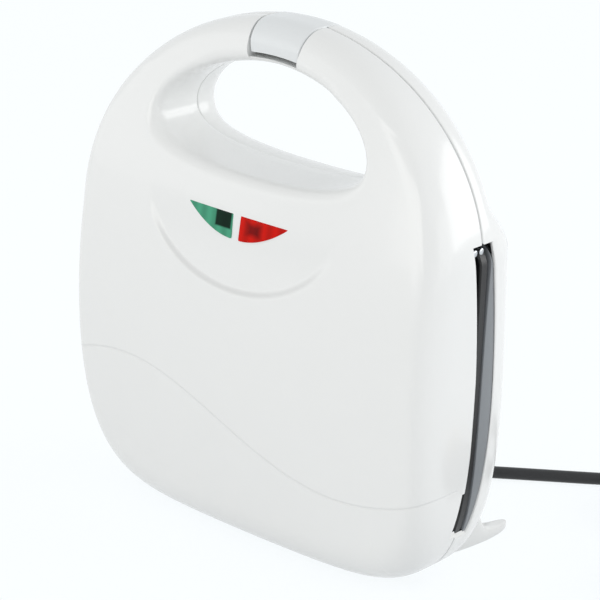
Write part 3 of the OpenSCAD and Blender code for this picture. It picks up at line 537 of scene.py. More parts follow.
def grid_skin(grid: Points, wrap_cols: bool = False, cap: bool = True) -> Skin:
    """Join a grid of points (columns, rows, 3) into a skin; the last row joins the first.

    Args:
        grid: the points.
        wrap_cols: whether the last column joins the first.
        cap: whether the end columns are closed with fans round their middle.

    Returns:
        The skin, turned outwards.
    """
    cols, rows = grid.shape[:2]
    index = np.arange(cols * rows).reshape(cols, rows)
    right = np.roll(index, -1, axis=0) if wrap_cols else index[1:]
    left = index if wrap_cols else index[:-1]
    quads = np.stack([left, np.roll(left, -1, 1), np.roll(right, -1, 1), right], -1).reshape(-1, 4)
    verts = grid.reshape(-1, 3)
    if wrap_cols or not cap:
        return Skin(verts, quads).outward()
    middle = len(verts)
    first, last = index[0], index[-1]
    fans = [points(middle, np.roll(first, -1), first), points(middle + 1, last, np.roll(last, -1))]
    verts = np.vstack([verts, grid[0].mean(0), grid[-1].mean(0)])
    return Skin(verts, quads, np.stack(fans, 1).reshape(-1, 3)).outward()


def lathe(profile: Points, centre: Sequence[float], axis: Axis, segments: int) -> Skin:
    """Turn a profile of (radius, height) about an axis; its ends are closed with fans.

    Args:
        profile: radius and height of each ring.
        centre: point that the axis passes through.
        axis: direction of that axis.
        segments: points in a ring.

    Returns:
        The turned skin.
    """
    angle = np.linspace(0, FULL, segments, endpoint=False)
    radius, height = np.array(profile).T[..., None]
    ring = points(radius * np.cos(angle), radius * np.sin(angle), height)
    return grid_skin(ring[..., list(axis.value)] + np.array(centre))


def rounded_profile(radius: float, low: float, high: float, edge: float, steps: int = 5) -> Points:
    """Profile of a bar whose two edges are quarter circles.

    Args:
        radius: radius of the bar.
        low: height of its lower face.
        high: height of its upper face.
        edge: radius of its edges.
        steps: steps in each edge.

    Returns:
        Radius and height of each ring.
    """
    a = np.linspace(0, QUARTER, steps + 1)
    inset, rise = edge * (1 - np.sin(a)), edge * (1 - np.cos(a))
    return np.vstack([points(radius - inset, low + rise), points(radius - inset, high - rise)[::-1]])


def tube_skin(path: Points, radius: float, sides: int = 20) -> Skin:
    """Round tube along a path.

    Each ring stands square to the path. Its side vector is the one before it with the part
    along the path taken out, so the rings aren't twisted.

    Args:
        path: centreline.
        radius: radius of the tube.
        sides: points in a ring.

    Returns:
        The tube with closed ends.
    """
    ahead = unit(np.gradient(path, axis=0))
    side = np.zeros_like(path)
    side[0] = unit(np.cross(ahead[0], [0, 0, 1.0]))
    for k in range(1, len(path)):
        side[k] = unit(side[k - 1] - ahead[k] * np.dot(side[k - 1], ahead[k]))
    up = np.cross(side, ahead)
    a = np.linspace(0, FULL, sides, endpoint=False)[:, None]
    return grid_skin(path[:, None] + radius * (np.cos(a) * side[:, None] + np.sin(a) * up[:, None]))


def superbox(centre: Sequence[float], half: Sequence[float], edge: float, corner: float) -> Skin:
    """Box with rounded upright corners and rounded rims, as a stack of rounded rectangles.

    Args:
        centre: middle of the box.
        half: half sizes along X, Y and Z.
        edge: radius of the rims round the top and the bottom.
        corner: radius of the upright corners.

    Returns:
        The box.
    """
    rings, arc, sharpest = 6, 9, 0.01 * MM
    t = np.linspace(0, QUARTER, rings)
    inset, level = edge * (1 - np.sin(t)), edge * (1 - np.cos(t)) - half[2]
    inset = np.concatenate([inset, inset[::-1]])[:, None]
    level = np.concatenate([level, -level[::-1]])[:, None]
    r = np.maximum(corner - inset, sharpest)
    a = (np.linspace(0, QUARTER, arc) + QUARTER * np.arange(4)[:, None]).ravel()
    x = np.repeat([1, -1, -1, 1], arc) * (half[0] - inset - r) + r * np.cos(a)
    y = np.repeat([1, 1, -1, -1], arc) * (half[1] - inset - r) + r * np.sin(a)
    return grid_skin(points(x, y, level) + np.array(centre))


class Piece:
    """A finished piece of the visual model: a mesh with a finish that rides on a body."""

    made: Dict[str, bpy.types.Material] = {}

    def __init__(self, name: str, skins: Sequence[Skin], finish: Surface, body: str, nodes: Sequence[str],
                 slot: str) -> None:
        """Write the skins into one mesh, dress it, and hide and log the CAD nodes it stands for.

        Args:
            name: the piece's name.
            skins: its closed surfaces.
            finish: its finish.
            body: the body it rides on.
            nodes: the CAD nodes it stands for.
            slot: name of a material slot, handed on to `dress`.
        """
        starts = np.cumsum([0] + [len(s.verts) for s in skins[:-1]]).tolist()
        faces = [f for s, n in zip(skins, starts) for f in (s.quads + n).tolist() + (s.tris + n).tolist()]
        mesh = bpy.data.meshes.new(name)
        mesh.from_pydata(np.vstack([s.verts for s in skins]).tolist(), [], faces)
        mesh.update()
        self.obj = bpy.data.objects.new(name, mesh)
        bpy.context.scene.collection.objects.link(self.obj)
        Piece.dress(self.obj, finish, slot, 38)
        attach(self.obj, body)
        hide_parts(*nodes)
        log.info("%s: %d faces, stands for %s", name, len(faces), ", ".join(nodes))

    @classmethod
    def dress(cls, obj: bpy.types.Object, finish: Surface, slot: str, crease: float = 30) -> None:
        """Give an object its finish, smooth shading and material slot.

        Args:
            obj: a piece, or a CAD node that is shown as it is.
            finish: its finish, whose material is made once.
            slot: not used.
            crease: edges sharper than this many degrees stay sharp.
        """
        if finish.name not in cls.made:
            cls.made[finish.name] = finish.material()
        obj.data.materials.clear()
        obj.data.materials.append(cls.made[finish.name])
        obj.data.shade_smooth()
        obj.data.set_sharp_from_angle(angle=math.radians(crease))


# ---- Housing ----


def ease(t: Array) -> Array:
    """Smooth step from 0 to 1, flat at both ends: 3 t^2 - 2 t^3."""
    t = np.clip(t, 0, 1)
    return t * t * (3 - 2 * t)


def past(z: Array, span: Tuple[float, float]) -> Array:
    """How far heights are past a span, from 0 below it to 1 above it, eased."""
    return ease((z - span[0]) / (span[1] - span[0]))


def bell(d: Array, width: float) -> Array:
    """Smooth bump of height 1 at d = 0 that falls off over about `width`."""
    return np.exp(-((d / width) ** 2))


def spow(v: Array, p: Union[float, Array]) -> Array:
    """Power of the positive part."""
    return np.maximum(v, 0.0) ** p


def spread(first: Array, last: Array, s: Array) -> Array:
    """Rows of values between two columns of values, at the shares s of the way."""
    return first[:, None] + (last - first)[:, None] * s


@dataclass(frozen=True)
class Outline:
    """Front outline of the housing and of its finger hole.

    The outline is two superellipse halves that meet at the widest height. A column of the
    mesh is named by a number c from 0 (top) to `columns` (bottom): its outer end lies on the
    outline and its inner end on the finger hole.
    """

    width: float = 0.230
    height: float = 0.2614
    wide_z: float = 0.1643
    corner_power: float = 5.8
    hole_w: float = 0.129
    hole_z: float = 0.209
    hole_up: float = 0.032
    hole_down: float = 0.018
    hole_top_power: float = 1.85
    hole_low_power: float = 2.5
    top_columns: int = 18
    low_columns: int = 20
    corner_pack: float = 7.0
    pack_start: float = 0.1
    aim_from: float = 3.0
    aim_over: float = 5.0
    corner_columns: int = 6
    samples: int = 40001

    @property
    def columns(self) -> int:
        """Value of c at the bottom of the outline."""
        return self.top_columns + self.low_columns

    @property
    def bend_z(self) -> float:
        """Height of the centre about which the top of the handle bends."""
        return self.height - (self.width / 2) ** 2 / (self.height - self.wide_z)

    def even_turn(self, c: Array) -> Array:
        """Angle from straight up, in even steps above and below the widest height."""
        low = QUARTER + QUARTER * (c - self.top_columns) / self.low_columns
        return np.where(c <= self.top_columns, QUARTER * c / self.top_columns, low)

    def outer(self, c: Array) -> Points:
        """Points of the outline.

        The angle is packed round the lower corners by a sine, and the radius follows from
        |sin t / (width / 2)|^n + |cos t / height|^n = r^-n.

        Args:
            c: columns.

        Returns:
            Points (x, z) of their outer ends.
        """
        s = (c - self.top_columns) / self.low_columns
        pack = np.sin(FULL * (s - self.pack_start)) + math.sin(FULL * self.pack_start)
        t = self.even_turn(c) + np.where(s > 0, math.radians(self.corner_pack) * pack, 0.0)
        upper = t <= QUARTER
        n = np.where(upper, 2.0, self.corner_power)
        b = np.where(upper, self.height - self.wide_z, self.wide_z)
        r = ((np.abs(np.sin(t)) / (self.width / 2)) ** n + (np.abs(np.cos(t)) / b) ** n) ** (-1 / n)
        return points(r * np.sin(t), self.wide_z + r * np.cos(t))

    def hole(self, phase: Array) -> Points:
        """Points of the finger hole at its narrowest, on two superellipse halves.

        Args:
            phase: phases, 0 at the top.

        Returns:
            Points (x, z).
        """
        s, c = np.sin(phase), np.cos(phase)
        upper = phase <= QUARTER
        h = np.where(upper, self.hole_up, self.hole_down)
        e = 2 / np.where(upper, self.hole_top_power, self.hole_low_power)
        return points(self.hole_w / 2 * spow(s, e), self.hole_z + h * np.sign(c) * spow(np.abs(c), e))

    def slant(self, p: Points) -> Array:
        """Tangent of the angle at which points stand about the centre of the handle's bend."""
        return p[..., 0] / (p[..., 1] - self.bend_z)

    def phase(self, c: Array) -> Array:
        """Phase of the finger hole that columns run to.

        Near the top the columns point at the centre of the handle's bend, so that the sides
        of the latch's recess are columns too.

        Args:
            c: columns.

        Returns:
            Phases, 0 at the top of the hole.
        """
        furthest, samples = math.radians(70), 700
        table = np.linspace(0, furthest, samples)
        aim = np.interp(self.slant(self.outer(c)), self.slant(self.hole(table)), table)
        plain = self.even_turn(c)
        return plain + (aim - plain) * (1 - ease((c - self.aim_from) / self.aim_over))

    def column_at(self, x: Optional[float] = None, z: Optional[float] = None) -> float:
        """Find a column by its outer end.

        Args:
            x: its place along the bottom.
            z: or its height.

        Returns:
            The column's number.
        """
        c = np.linspace(0, self.columns, self.samples)
        p = self.outer(c)
        if z is not None:
            return float(np.interp(-z, -p[:, 1], c))
        low = c > self.top_columns + self.corner_columns
        return float(np.interp(-x, -p[low, 0], c[low]))


@dataclass(frozen=True)
class Columns:
    """Columns of a housing's mesh: their outer ends, directions, lengths and radii."""

    ends: Points
    ahead: Points
    length: Array
    edge_r: Array
    hole_r: Array
    hole_rise: Array

    def at(self, d: Array) -> Rows:
        """x and z of the points at distances d (columns, rows) from the outline."""
        p = self.ends[:, None] + self.ahead[:, None] * d[..., None]
        return p[..., 0], p[..., 1]


@dataclass(frozen=True)
class Housing:
    """One half of the housing as a closed skin, swept column by column.

    A column's outer rows run from the parting edge up the side wall, round the outer edge
    (a quarter of a superellipse), over the face and down round the finger hole's edge. Its
    inner rows come back on the inside of the wall. The side slot's edge is cut back by a
    parabola of height about the slot's middle.
    """

    outline: Outline = field(default_factory=Outline)
    side: Side = Side.LID
    wall: float = 0.0025
    lip: float = 0.0009
    seam: float = 0.0003
    straight: float = 0.003
    even_columns: int = 170
    edge_rows: int = 26
    face_rows: int = 96
    hole_rows: int = 16
    wall_rows: int = 5
    lip_rows: int = 4
    inner_face_rows: int = 40
    inner_edge_rows: int = 9
    rim_step: float = 0.0001
    cavity_top: float = 0.180
    cavity_fade: float = 0.012
    recess: float = 0.0012
    recess_w: float = 0.0346
    recess_low: float = 0.2441
    recess_wall: float = 0.0008
    slot: Tuple[float, float] = (0.031, 0.178)
    slot_middle: float = 0.094
    slot_up: float = 0.084
    slot_down: float = 0.100
    slot_cut: float = 0.0
    slot_bow: float = 0.0068
    edge_r: float = 0.0244
    edge_power: float = 2.7
    hole_round: float = 0.009
    hole_lip: float = 0.006
    rise_handle: float = 0.013
    rise_body: float = 0.007
    hole_edge_power: float = 2.2
    hole_share: float = 0.45
    least_power: float = 4.0

    def depth(self, x: Array, z: Array) -> Array:
        """Depth of the face over the parting plane."""
        raise NotImplementedError

    def cuts(self) -> List[Tuple[float, float, float]]:
        """Stretches whose edge is cut back evenly: first and last column, and depth."""
        raise NotImplementedError

    def recess_line(self, floor: float, depth: float) -> Points:
        """Line (distance, depth) that the latch's recess cuts, from the parting edge to the face."""
        raise NotImplementedError

    def carve(self, d: Array, y: Array, outer: int) -> Rows:
        """Cut the latch's recess into one column: the rows above its floor move onto its line.

        Args:
            d: distances of the column's rows from the outline.
            y: their depths.
            outer: number of outer rows.

        Returns:
            New distances and depths.
        """
        floor = self.outline.height - self.recess_low
        face = int(np.argmax(d[:outer] >= floor))
        line = self.recess_line(floor, y[face])
        cut = walk(line, np.linspace(0, reach_along(line)[-1], face + 1))
        inside = np.maximum(d[outer:], line[0, 0] + self.recess_wall)
        return np.concatenate([cut[:, 0], d[face + 1 : outer], inside]), np.append(cut[:, 1], y[face + 1 :])

    def slot_edge(self, z: Array) -> Array:
        """How far the side slot's edge is cut back: a parabola about the slot's middle."""
        far = (z - self.slot_middle) / np.where(z > self.slot_middle, self.slot_up, self.slot_down)
        return self.slot_cut + self.slot_bow * far ** 2

    def slot_columns(self) -> List[float]:
        """Columns at the upper and the lower end of the side slot."""
        return [self.outline.column_at(z=z) for z in reversed(self.slot)]

    def breaks(self) -> List[float]:
        """Columns at the recess's side and at the steps of the parting edge."""
        steps = [c for first, last, _ in self.cuts() for c in (first, last) if c < self.outline.columns]
        return [self.recess_column(), *self.slot_columns(), *steps]

    def start(self, c: Array, ends: Points) -> Array:
        """Depth at which the outer wall of each column starts.

        Args:
            c: columns.
            ends: their outer ends.

        Returns:
            The seam's gap, or the depth to which the edge is cut back.
        """
        high, low = self.slot_columns()
        cut = np.where((c > high) & (c < low), self.slot_edge(ends[:, 1]), 0.0)
        for first, last, depth in self.cuts():
            cut = np.where((c > first) & (c < last), depth, cut)
        return np.maximum(cut, self.seam)

    def column_list(self) -> Array:
        """Columns of one side.

        Returns:
            Evenly spaced columns, with a close pair at every step of the parting edge.
        """
        apart, gap = 0.05, 2e-4
        steps = np.array(self.breaks())
        even = np.linspace(0, self.outline.columns, self.even_columns)
        even = even[np.abs(even[:, None] - steps).min(1) > apart]
        return np.sort(np.concatenate([even, steps - gap, steps + gap]))

    def recess_column(self) -> float:
        """Find the column along which the side of the latch's recess runs.

        Returns:
            The column's number.
        """
        turn = self.recess_w / 2 / (self.outline.height - self.outline.bend_z)
        furthest, samples = 4, 4001
        c = np.linspace(0, furthest, samples)
        return float(np.interp(math.tan(turn), self.outline.slant(self.outline.outer(c)), c))

    def columns(self, c: Array) -> Columns:
        """Ends, directions and lengths of columns, and the radii of their two rounded edges.

        Args:
            c: columns.

        Returns:
            The columns. The outer radius gives way smoothly to half a short column's length,
            and the hole's radii grow from the body to the handle.
        """
        phase = self.outline.phase(c)
        ends = self.outline.outer(c)
        across = self.outline.hole(phase) - ends
        length = np.linalg.norm(across, axis=1)
        high = (1 + np.cos(phase)) / 2
        hole_r = self.hole_lip + (self.hole_round - self.hole_lip) * high
        hole_r = np.minimum(hole_r, length * self.hole_share)
        hole_rise = self.rise_body + (self.rise_handle - self.rise_body) * high
        p = self.least_power
        edge_r = (self.edge_r ** -p + (length / 2) ** -p) ** (-1 / p)
        return Columns(ends, across / length[:, None], length, edge_r, hole_r, hole_rise)

    def bend(self, columns: Columns, d: Array, rise: Union[float, Array], share: Array,
             wall: float = 0.0) -> Array:
        """Depth of a rounded edge: the face's depth less `rise`, plus a share of that rise.

        Args:
            columns: the columns.
            d: distances from the outline.
            rise: height of the rounding, cut where the face is shallow.
            share: share of the rise at each row.
            wall: thickness taken off the rise, on the inside.

        Returns:
            Depths.
        """
        face = self.depth(*columns.at(d))
        rise = np.minimum(rise, face - self.straight)
        return face - rise + (rise - wall) * share

    def outer_rows(self, c: Array) -> Rows:
        """Rows from the parting edge over the face and down to the finger hole's lip.

        Both rounded edges are quarters of a superellipse: inset r (1 - cos^(2/n)) and rise
        sin^(2/n). The outer one starts at the angle at which it passes the parting edge.

        Args:
            c: columns.

        Returns:
            Distances from the outline and depths, both (columns, rows).
        """
        columns = self.columns(c)
        r, hole_r, length = columns.edge_r, columns.hole_r, columns.length
        wall0 = self.start(c, columns.ends) + self.lip
        top = self.depth(*columns.at(r[:, None] / 2))[:, 0]
        rise = np.minimum(self.edge_r, top - self.straight)
        passed = np.clip((wall0 - top + rise) / rise, 0, 1)
        first = np.arcsin(spow(passed, self.edge_power / 2))
        ang = spread(first, np.full(len(c), QUARTER), np.linspace(0, 1, self.edge_rows))
        d_edge = r[:, None] * (1 - spow(np.cos(ang), 2 / self.edge_power))
        y_edge = self.bend(columns, d_edge, self.edge_r, spow(np.sin(ang), 2 / self.edge_power))
        wall0 = np.minimum(wall0, y_edge[:, 0])
        y_wall = spread(wall0, y_edge[:, 0], np.linspace(0, 1, self.wall_rows)[:-1])
        lip = np.linspace(0, QUARTER, self.lip_rows)
        d_face = spread(r, length - hole_r, np.linspace(0, 1, self.face_rows + 2)[1:-1])
        ang = np.linspace(QUARTER, 0, self.hole_rows)
        e = 2 / self.hole_edge_power
        d_hole = (length - hole_r)[:, None] + hole_r[:, None] * spow(np.cos(ang), e)
        y_hole = self.bend(columns, d_hole, columns.hole_rise[:, None], spow(np.sin(ang), e))
        y_in = spread(y_hole[:, -1], np.full(len(c), self.lip), np.linspace(0, 1, self.wall_rows)[1:])
        inner = lip[-2::-1]
        d = [d_edge[:, :1] + self.lip * (1 - np.sin(lip[:-1])), d_edge[:, :1] + 0 * y_wall, d_edge, d_face,
             d_hole, length[:, None] + 0 * y_in, length[:, None] - self.lip * (1 - np.sin(inner))]
        y = [wall0[:, None] - self.lip * np.cos(lip[:-1]), y_wall, y_edge, self.depth(*columns.at(d_face)),
             y_hole, y_in, self.lip * (1 - np.cos(inner)) + 0 * length[:, None]]
        return np.hstack(d), np.hstack(y)

    def inner_rows(self, c: Array) -> Rows:
        """Rows on the inside of the wall, from the finger hole back to the outline.

        The cavity is the face's depth less the wall, and fades to a shallow recess towards
        the handle. Nothing there lies below the parting plane, nor below the cut-back edge.

        Args:
            c: columns.

        Returns:
            Distances from the outline and depths, both (columns, rows).
        """
        columns = self.columns(c)
        w, r = self.wall, columns.edge_r
        start = self.start(c, columns.ends)

        def cavity(d: Array, depth: Array) -> Array:
            """Depth of the cavity where the inside of the wall lies at `depth`."""
            room = ease((self.cavity_top + self.cavity_fade - columns.at(d)[1]) / self.cavity_fade)
            return np.maximum(self.recess, depth * room)

        hole = columns.length - columns.hole_r
        d_face = spread(hole, r, np.linspace(0, 1, self.inner_face_rows))
        ang = np.linspace(QUARTER, 0, self.inner_edge_rows)[1:]
        d_edge = r[:, None] - (r - w)[:, None] * spow(np.cos(ang), 2 / self.edge_power)
        skin = self.bend(columns, d_edge, self.edge_r, spow(np.sin(ang), 2 / self.edge_power), w)
        d_rim = (columns.length - w)[:, None] - np.array([0, self.rim_step])
        y_rim = cavity(d_rim, self.depth(*columns.at(d_rim)) - w) * np.array([0, 1])
        d = np.hstack([d_rim, d_face, d_edge, np.full((len(c), 2), w)])
        y = np.hstack([y_rim, cavity(d_face, self.depth(*columns.at(d_face)) - w), cavity(d_edge, skin),
                       np.maximum(start, self.recess)[:, None], start[:, None]])
        outside = np.arange(y.shape[1]) >= y.shape[1] - len(ang) - 2
        return d, np.maximum(y, np.where(outside, start[:, None], 0.0))

    def skin(self) -> Skin:
        """The whole half.

        Returns:
            The columns of one side, their mirror image, and the middle column at each end.
        """
        c = self.column_list()
        d, y = self.outer_rows(c)
        outer = d.shape[1]
        d, y = (np.hstack(pair) for pair in zip((d, y), self.inner_rows(c)))
        for k in np.nonzero(c < self.recess_column())[0]:
            d[k], y[k] = self.carve(d[k], y[k], outer)
        x, z = self.columns(c).at(d)
        right = points(x, PARTING_Y + self.side.value * y, z)
        right[[0, -1], :, 0] = 0.0
        left = right[1:-1][::-1] * [-1.0, 1.0, 1.0]
        return grid_skin(np.concatenate([right, left]), wrap_cols=True)


@dataclass(frozen=True)
class LidHousing(Housing):
    """The lid: deeper, crowned, with a dished field under the finger hole.

    A soft ridge runs inside the rounded edge beside the finger hole, through the points
    (ridge_x, ridge_z).
    """

    hinge_depth: float = 0.0317
    deep: float = 0.0447
    deep_z: float = 0.1176
    handle_depth: float = 0.0178
    bar_z: float = 0.2512
    crown: float = 0.007
    notch_cut: float = 0.0017
    notch_top: float = 0.055
    relief_x: float = 0.090
    relief_y: float = 0.0096
    web: float = 0.0055
    band: float = 0.0038
    band_slope: float = 0.0003
    dish_centre: float = 0.1790
    dish_half: float = 0.059
    dish_drop: float = 0.042
    dish_depth: float = 0.0007
    dish_width: float = 0.0022
    dish_fade: Tuple[float, float] = (0.158, 0.178)
    ridge_height: float = 0.0005
    ridge_width: float = 0.0022
    ridge_low: Tuple[float, float] = (0.150, 0.170)
    ridge_high: Tuple[float, float] = (0.226, 0.236)
    ridge_z: Tuple[float, ...] = (0.150, 0.163, 0.187, 0.202, 0.215, 0.225, 0.236)
    ridge_x: Tuple[float, ...] = (0.111, 0.109, 0.103, 0.099, 0.093, 0.084, 0.062)

    def plain_depth(self, x: Array, z: Array) -> Array:
        """Smooth depth of the face, deepest at deep_z.

        Below that height it is a quarter of a sine, above it a parabola, and the crown takes
        off a parabola across.

        Args:
            x: places across.
            z: heights.

        Returns:
            Depths over the parting plane.
        """
        rise = np.sin(QUARTER * np.clip(z / self.deep_z, 0, 1))
        low = self.hinge_depth + (self.deep - self.hinge_depth) * rise
        f = np.maximum(z - self.deep_z, 0) / (self.bar_z - self.deep_z)
        high = self.deep + (self.handle_depth - self.deep) * f ** 2
        return np.where(z < self.deep_z, low, high) - self.crown * (2 * x / self.outline.width) ** 2

    def depth(self, x: Array, z: Array) -> Array:
        """Depth of the face with its dish and its ridge.

        The dish is the lower half of an ellipse sunk by a smooth step that fades out at its
        upper ends. The ridge is a bell of the distance from its line.

        Args:
            x: places across.
            z: heights.

        Returns:
            Depths over the parting plane.
        """
        ax = np.abs(x)
        rad = np.sqrt((ax / self.dish_half) ** 2 + ((z - self.dish_centre) / self.dish_drop) ** 2)
        inside = (1 - rad) * np.minimum(self.dish_half, self.dish_drop)
        dish = ease(inside / self.dish_width / 2 + 0.5) * (1 - past(z, self.dish_fade))
        strength = past(z, self.ridge_low) * (1 - past(z, self.ridge_high))
        ridge = bell(ax - np.interp(z, self.ridge_z, self.ridge_x), self.ridge_width) * strength
        return self.plain_depth(x, z) - self.dish_depth * dish + self.ridge_height * ridge

    def slot_edge(self, z: Array) -> Array:
        """The parabola, with a notch at its lower end."""
        return super().slot_edge(z) + np.where(z < self.notch_top, self.notch_cut, 0.0)

    def cuts(self) -> List[Tuple[float, float, float]]:
        """The stretch along the hinge."""
        return [(self.outline.column_at(x=self.relief_x), self.outline.columns + 1, self.relief_y)]

    def breaks(self) -> List[float]:
        """The shared steps and the top of the slot's notch."""
        return super().breaks() + [self.outline.column_at(z=self.notch_top)]

    def recess_line(self, floor: float, depth: float) -> Points:
        """Under the band, down the web beside it, and on to the recess's floor."""
        beside = self.band + self.band_slope
        return np.array([(self.band, 0.0), (beside, self.web), (floor, self.web), (floor, depth)])


@dataclass(frozen=True)
class BaseHousing(Housing):
    """The base: flat-backed, thinning in a shoulder towards the handle."""

    side: Side = Side.BASE
    outline: Outline = field(default_factory=lambda: Outline(hole_down=0.020))
    cavity_top: float = 0.178
    rise_body: float = 0.016
    edge_r: float = 0.0225
    edge_power: float = 2.1
    back_depth: float = 0.032
    handle_depth: float = 0.017
    shoulder: Tuple[float, float] = (0.170, 0.197)
    crown: float = 0.002
    slot: Tuple[float, float] = (0.029, 0.178)
    slot_cut: float = 0.0142
    slot_bow: float = -0.0071
    slot_down: float = 0.073
    lug: Tuple[float, float] = (0.046, 0.0586)
    lug_cut: float = 0.0088
    recess_low: float = 0.2516
    recess_wall: float = 0.0003

    def depth(self, x: Array, z: Array) -> Array:
        """Depth of the back, with the shoulder as a smooth step in height and a crown across."""
        thin = (self.back_depth - self.handle_depth) * past(z, self.shoulder)
        return self.back_depth - thin - self.crown * (2 * x / self.outline.width) ** 2

    def cuts(self) -> List[Tuple[float, float, float]]:
        """The stretch where the lid's lug passes."""
        inner, outer = (self.outline.column_at(x=x) for x in self.lug)
        return [(outer, inner, self.lug_cut)]

    def recess_line(self, floor: float, depth: float) -> Points:
        """A flat under the latch's back arm."""
        return np.array([(floor, 0.0), (floor, depth)])


@dataclass(frozen=True)
class StandFoot:
    """Foot moulded on the base's end that the toaster stands on.

    Cross-sections (x, z) follow each other along Y from inside the base to the tip. Each is
    flat below, with a rounded top whose height falls in a hollow curve towards the tip, and
    a web that steps it up close to the base's back.
    """

    root: float = 0.020
    reach: float = 0.0815
    crowding: float = 1.3
    outer_x: float = 0.085
    width: float = 0.011
    splay: float = 0.008
    outer_taper: float = 0.005
    inner_taper: float = 0.003
    tip: float = 0.0036
    rise: float = 0.027
    rise_end: float = 0.028
    power: float = 2.2
    web: float = 0.012
    web_span: Tuple[float, float] = (0.050, 0.059)
    sole: float = 0.0008
    sole_share: float = 0.93
    side_power: float = 0.55
    top_power: float = 0.45
    closing_from: float = 0.9
    closing_drop: float = 0.45
    bluntness: float = 0.05
    stations: int = 48
    arc: int = 19

    def skin(self) -> Skin:
        """The foot on the +X side.

        The ring's sides are superellipses: x = mid + half |cos a|^side_power and
        z = sole + (height - sole) |sin a|^top_power. The last tenth closes in a quarter
        circle.

        Returns:
            The foot.
        """
        k = np.linspace(0, 1, self.stations)[:, None]
        f = 1 - (1 - k) ** self.crowding
        y = self.root + (self.reach - self.root) * f
        middle = self.outer_x - self.splay * (1 - f) ** 2
        outer = middle - self.outer_taper * f ** 6
        inner = middle - self.width + self.inner_taper * f ** 4
        fall = np.clip((self.reach - y) / (self.reach - self.rise_end), 0, 1)
        top = self.tip + self.rise * fall ** self.power + self.web * (1 - past(y, self.web_span))
        closing = np.sqrt(1 - np.clip((f - self.closing_from) / (1 - self.closing_from), 0, 1) ** 2)
        height = top * (1 - self.closing_drop * (1 - closing))
        mid, half = (outer + inner) / 2, (outer - inner) / 2 * np.maximum(closing, self.bluntness)
        a = np.linspace(0, math.pi, self.arc)
        across = np.append(np.sign(np.cos(a)) * np.abs(np.cos(a)) ** self.side_power,
                           [-self.sole_share, self.sole_share])
        z = np.hstack([self.sole + (height - self.sole) * np.abs(np.sin(a)) ** self.top_power, 0 * y, 0 * y])
        return grid_skin(points(mid + half * across, PARTING_Y + y, z))


@dataclass(frozen=True)
class Shells:
    """The two halves of the housing with their hinge lugs, screw posts and stand feet."""

    lid: LidHousing = field(default_factory=LidHousing)
    base: BaseHousing = field(default_factory=BaseHousing)
    eye: float = 0.0058
    lug_in: float = 0.038
    lid_lug_w: float = 0.012
    base_lug_w: float = 0.008
    slack: float = 0.0003
    lid_root: float = 0.018
    base_root: float = 0.013
    lug_edge: Triple = (0.0, 0.2 * MM, 0.5 * MM)
    post_r: float = 0.0038
    post_start: float = 0.0039
    post_sink: float = 0.00125
    posts: Tuple[Tuple[float, float], ...] = ((0.080, 0.1711), (0.070, 0.0355))

    def lug(self, side: Side, x0: float, width: float) -> Skin:
        """Hinge lug: an eye with a root along the floor, with softened side edges.

        The outline in (y, z) is a half circle joined to a square root. It is swept across
        the lug's width and set in a little at both faces.

        Args:
            side: half of the housing it belongs to.
            x0: its inner face.
            width: its width.

        Returns:
            The lug on the +X side.
        """
        a = np.linspace(-QUARTER, QUARTER, 25)
        root = self.lid_root if side is Side.LID else self.base_root
        y = side.value * np.append(-self.eye * np.cos(a), [root, root])
        z = np.append(self.eye * np.sin(a), [self.eye, -self.eye])
        step = np.array(self.lug_edge)
        x = x0 + np.concatenate([step, width - step[::-1]])
        shrink = 1 - np.append(step[::-1], step)[:, None] / self.eye
        y = y * np.where(np.arange(len(y)) < len(a), shrink, 1.0)
        return grid_skin(points(x[:, None], PARTING_Y + y, HINGE_Z + z * shrink))

    def post(self, side: Side, x: float, z: float) -> Skin:
        """Screw post from the plate's flange to the inside of the housing.

        Args:
            side: half of the housing it belongs to.
            x: its place across.
            z: its height.

        Returns:
            The post.
        """
        half = self.lid if side is Side.LID else self.base
        deep = float(half.depth(np.array([x]), np.array([z]))[0]) - self.post_sink
        ends = sorted(PARTING_Y + side.value * d for d in (self.post_start, deep))
        return lathe(rounded_profile(self.post_r, *ends, 0.3 * MM), (x, 0, z), Axis.Y, 32)

    def build(self) -> None:
        """Make both halves."""
        second = self.lug_in + self.base_lug_w + self.slack
        third = second + self.lid_lug_w + self.slack
        lid_lugs = [self.lug(Side.LID, second, self.lid_lug_w)]
        base_lugs = [self.lug(Side.BASE, x0, self.base_lug_w) for x0 in (self.lug_in, third)]
        for name, half, lugs, feet, finish in (("lid", self.lid, lid_lugs, [], LID_WHITE),
                                               ("base", self.base, base_lugs, [StandFoot().skin()], WHITE)):
            added = [*lugs, *(self.post(half.side, x, z) for x, z in self.posts), *feet]
            skins = [half.skin(), *(s for part in added for s in part.with_mirror())]
            Piece(f"{name}_housing", skins, finish, name, [f"{name}_shell"], "white_plastic")


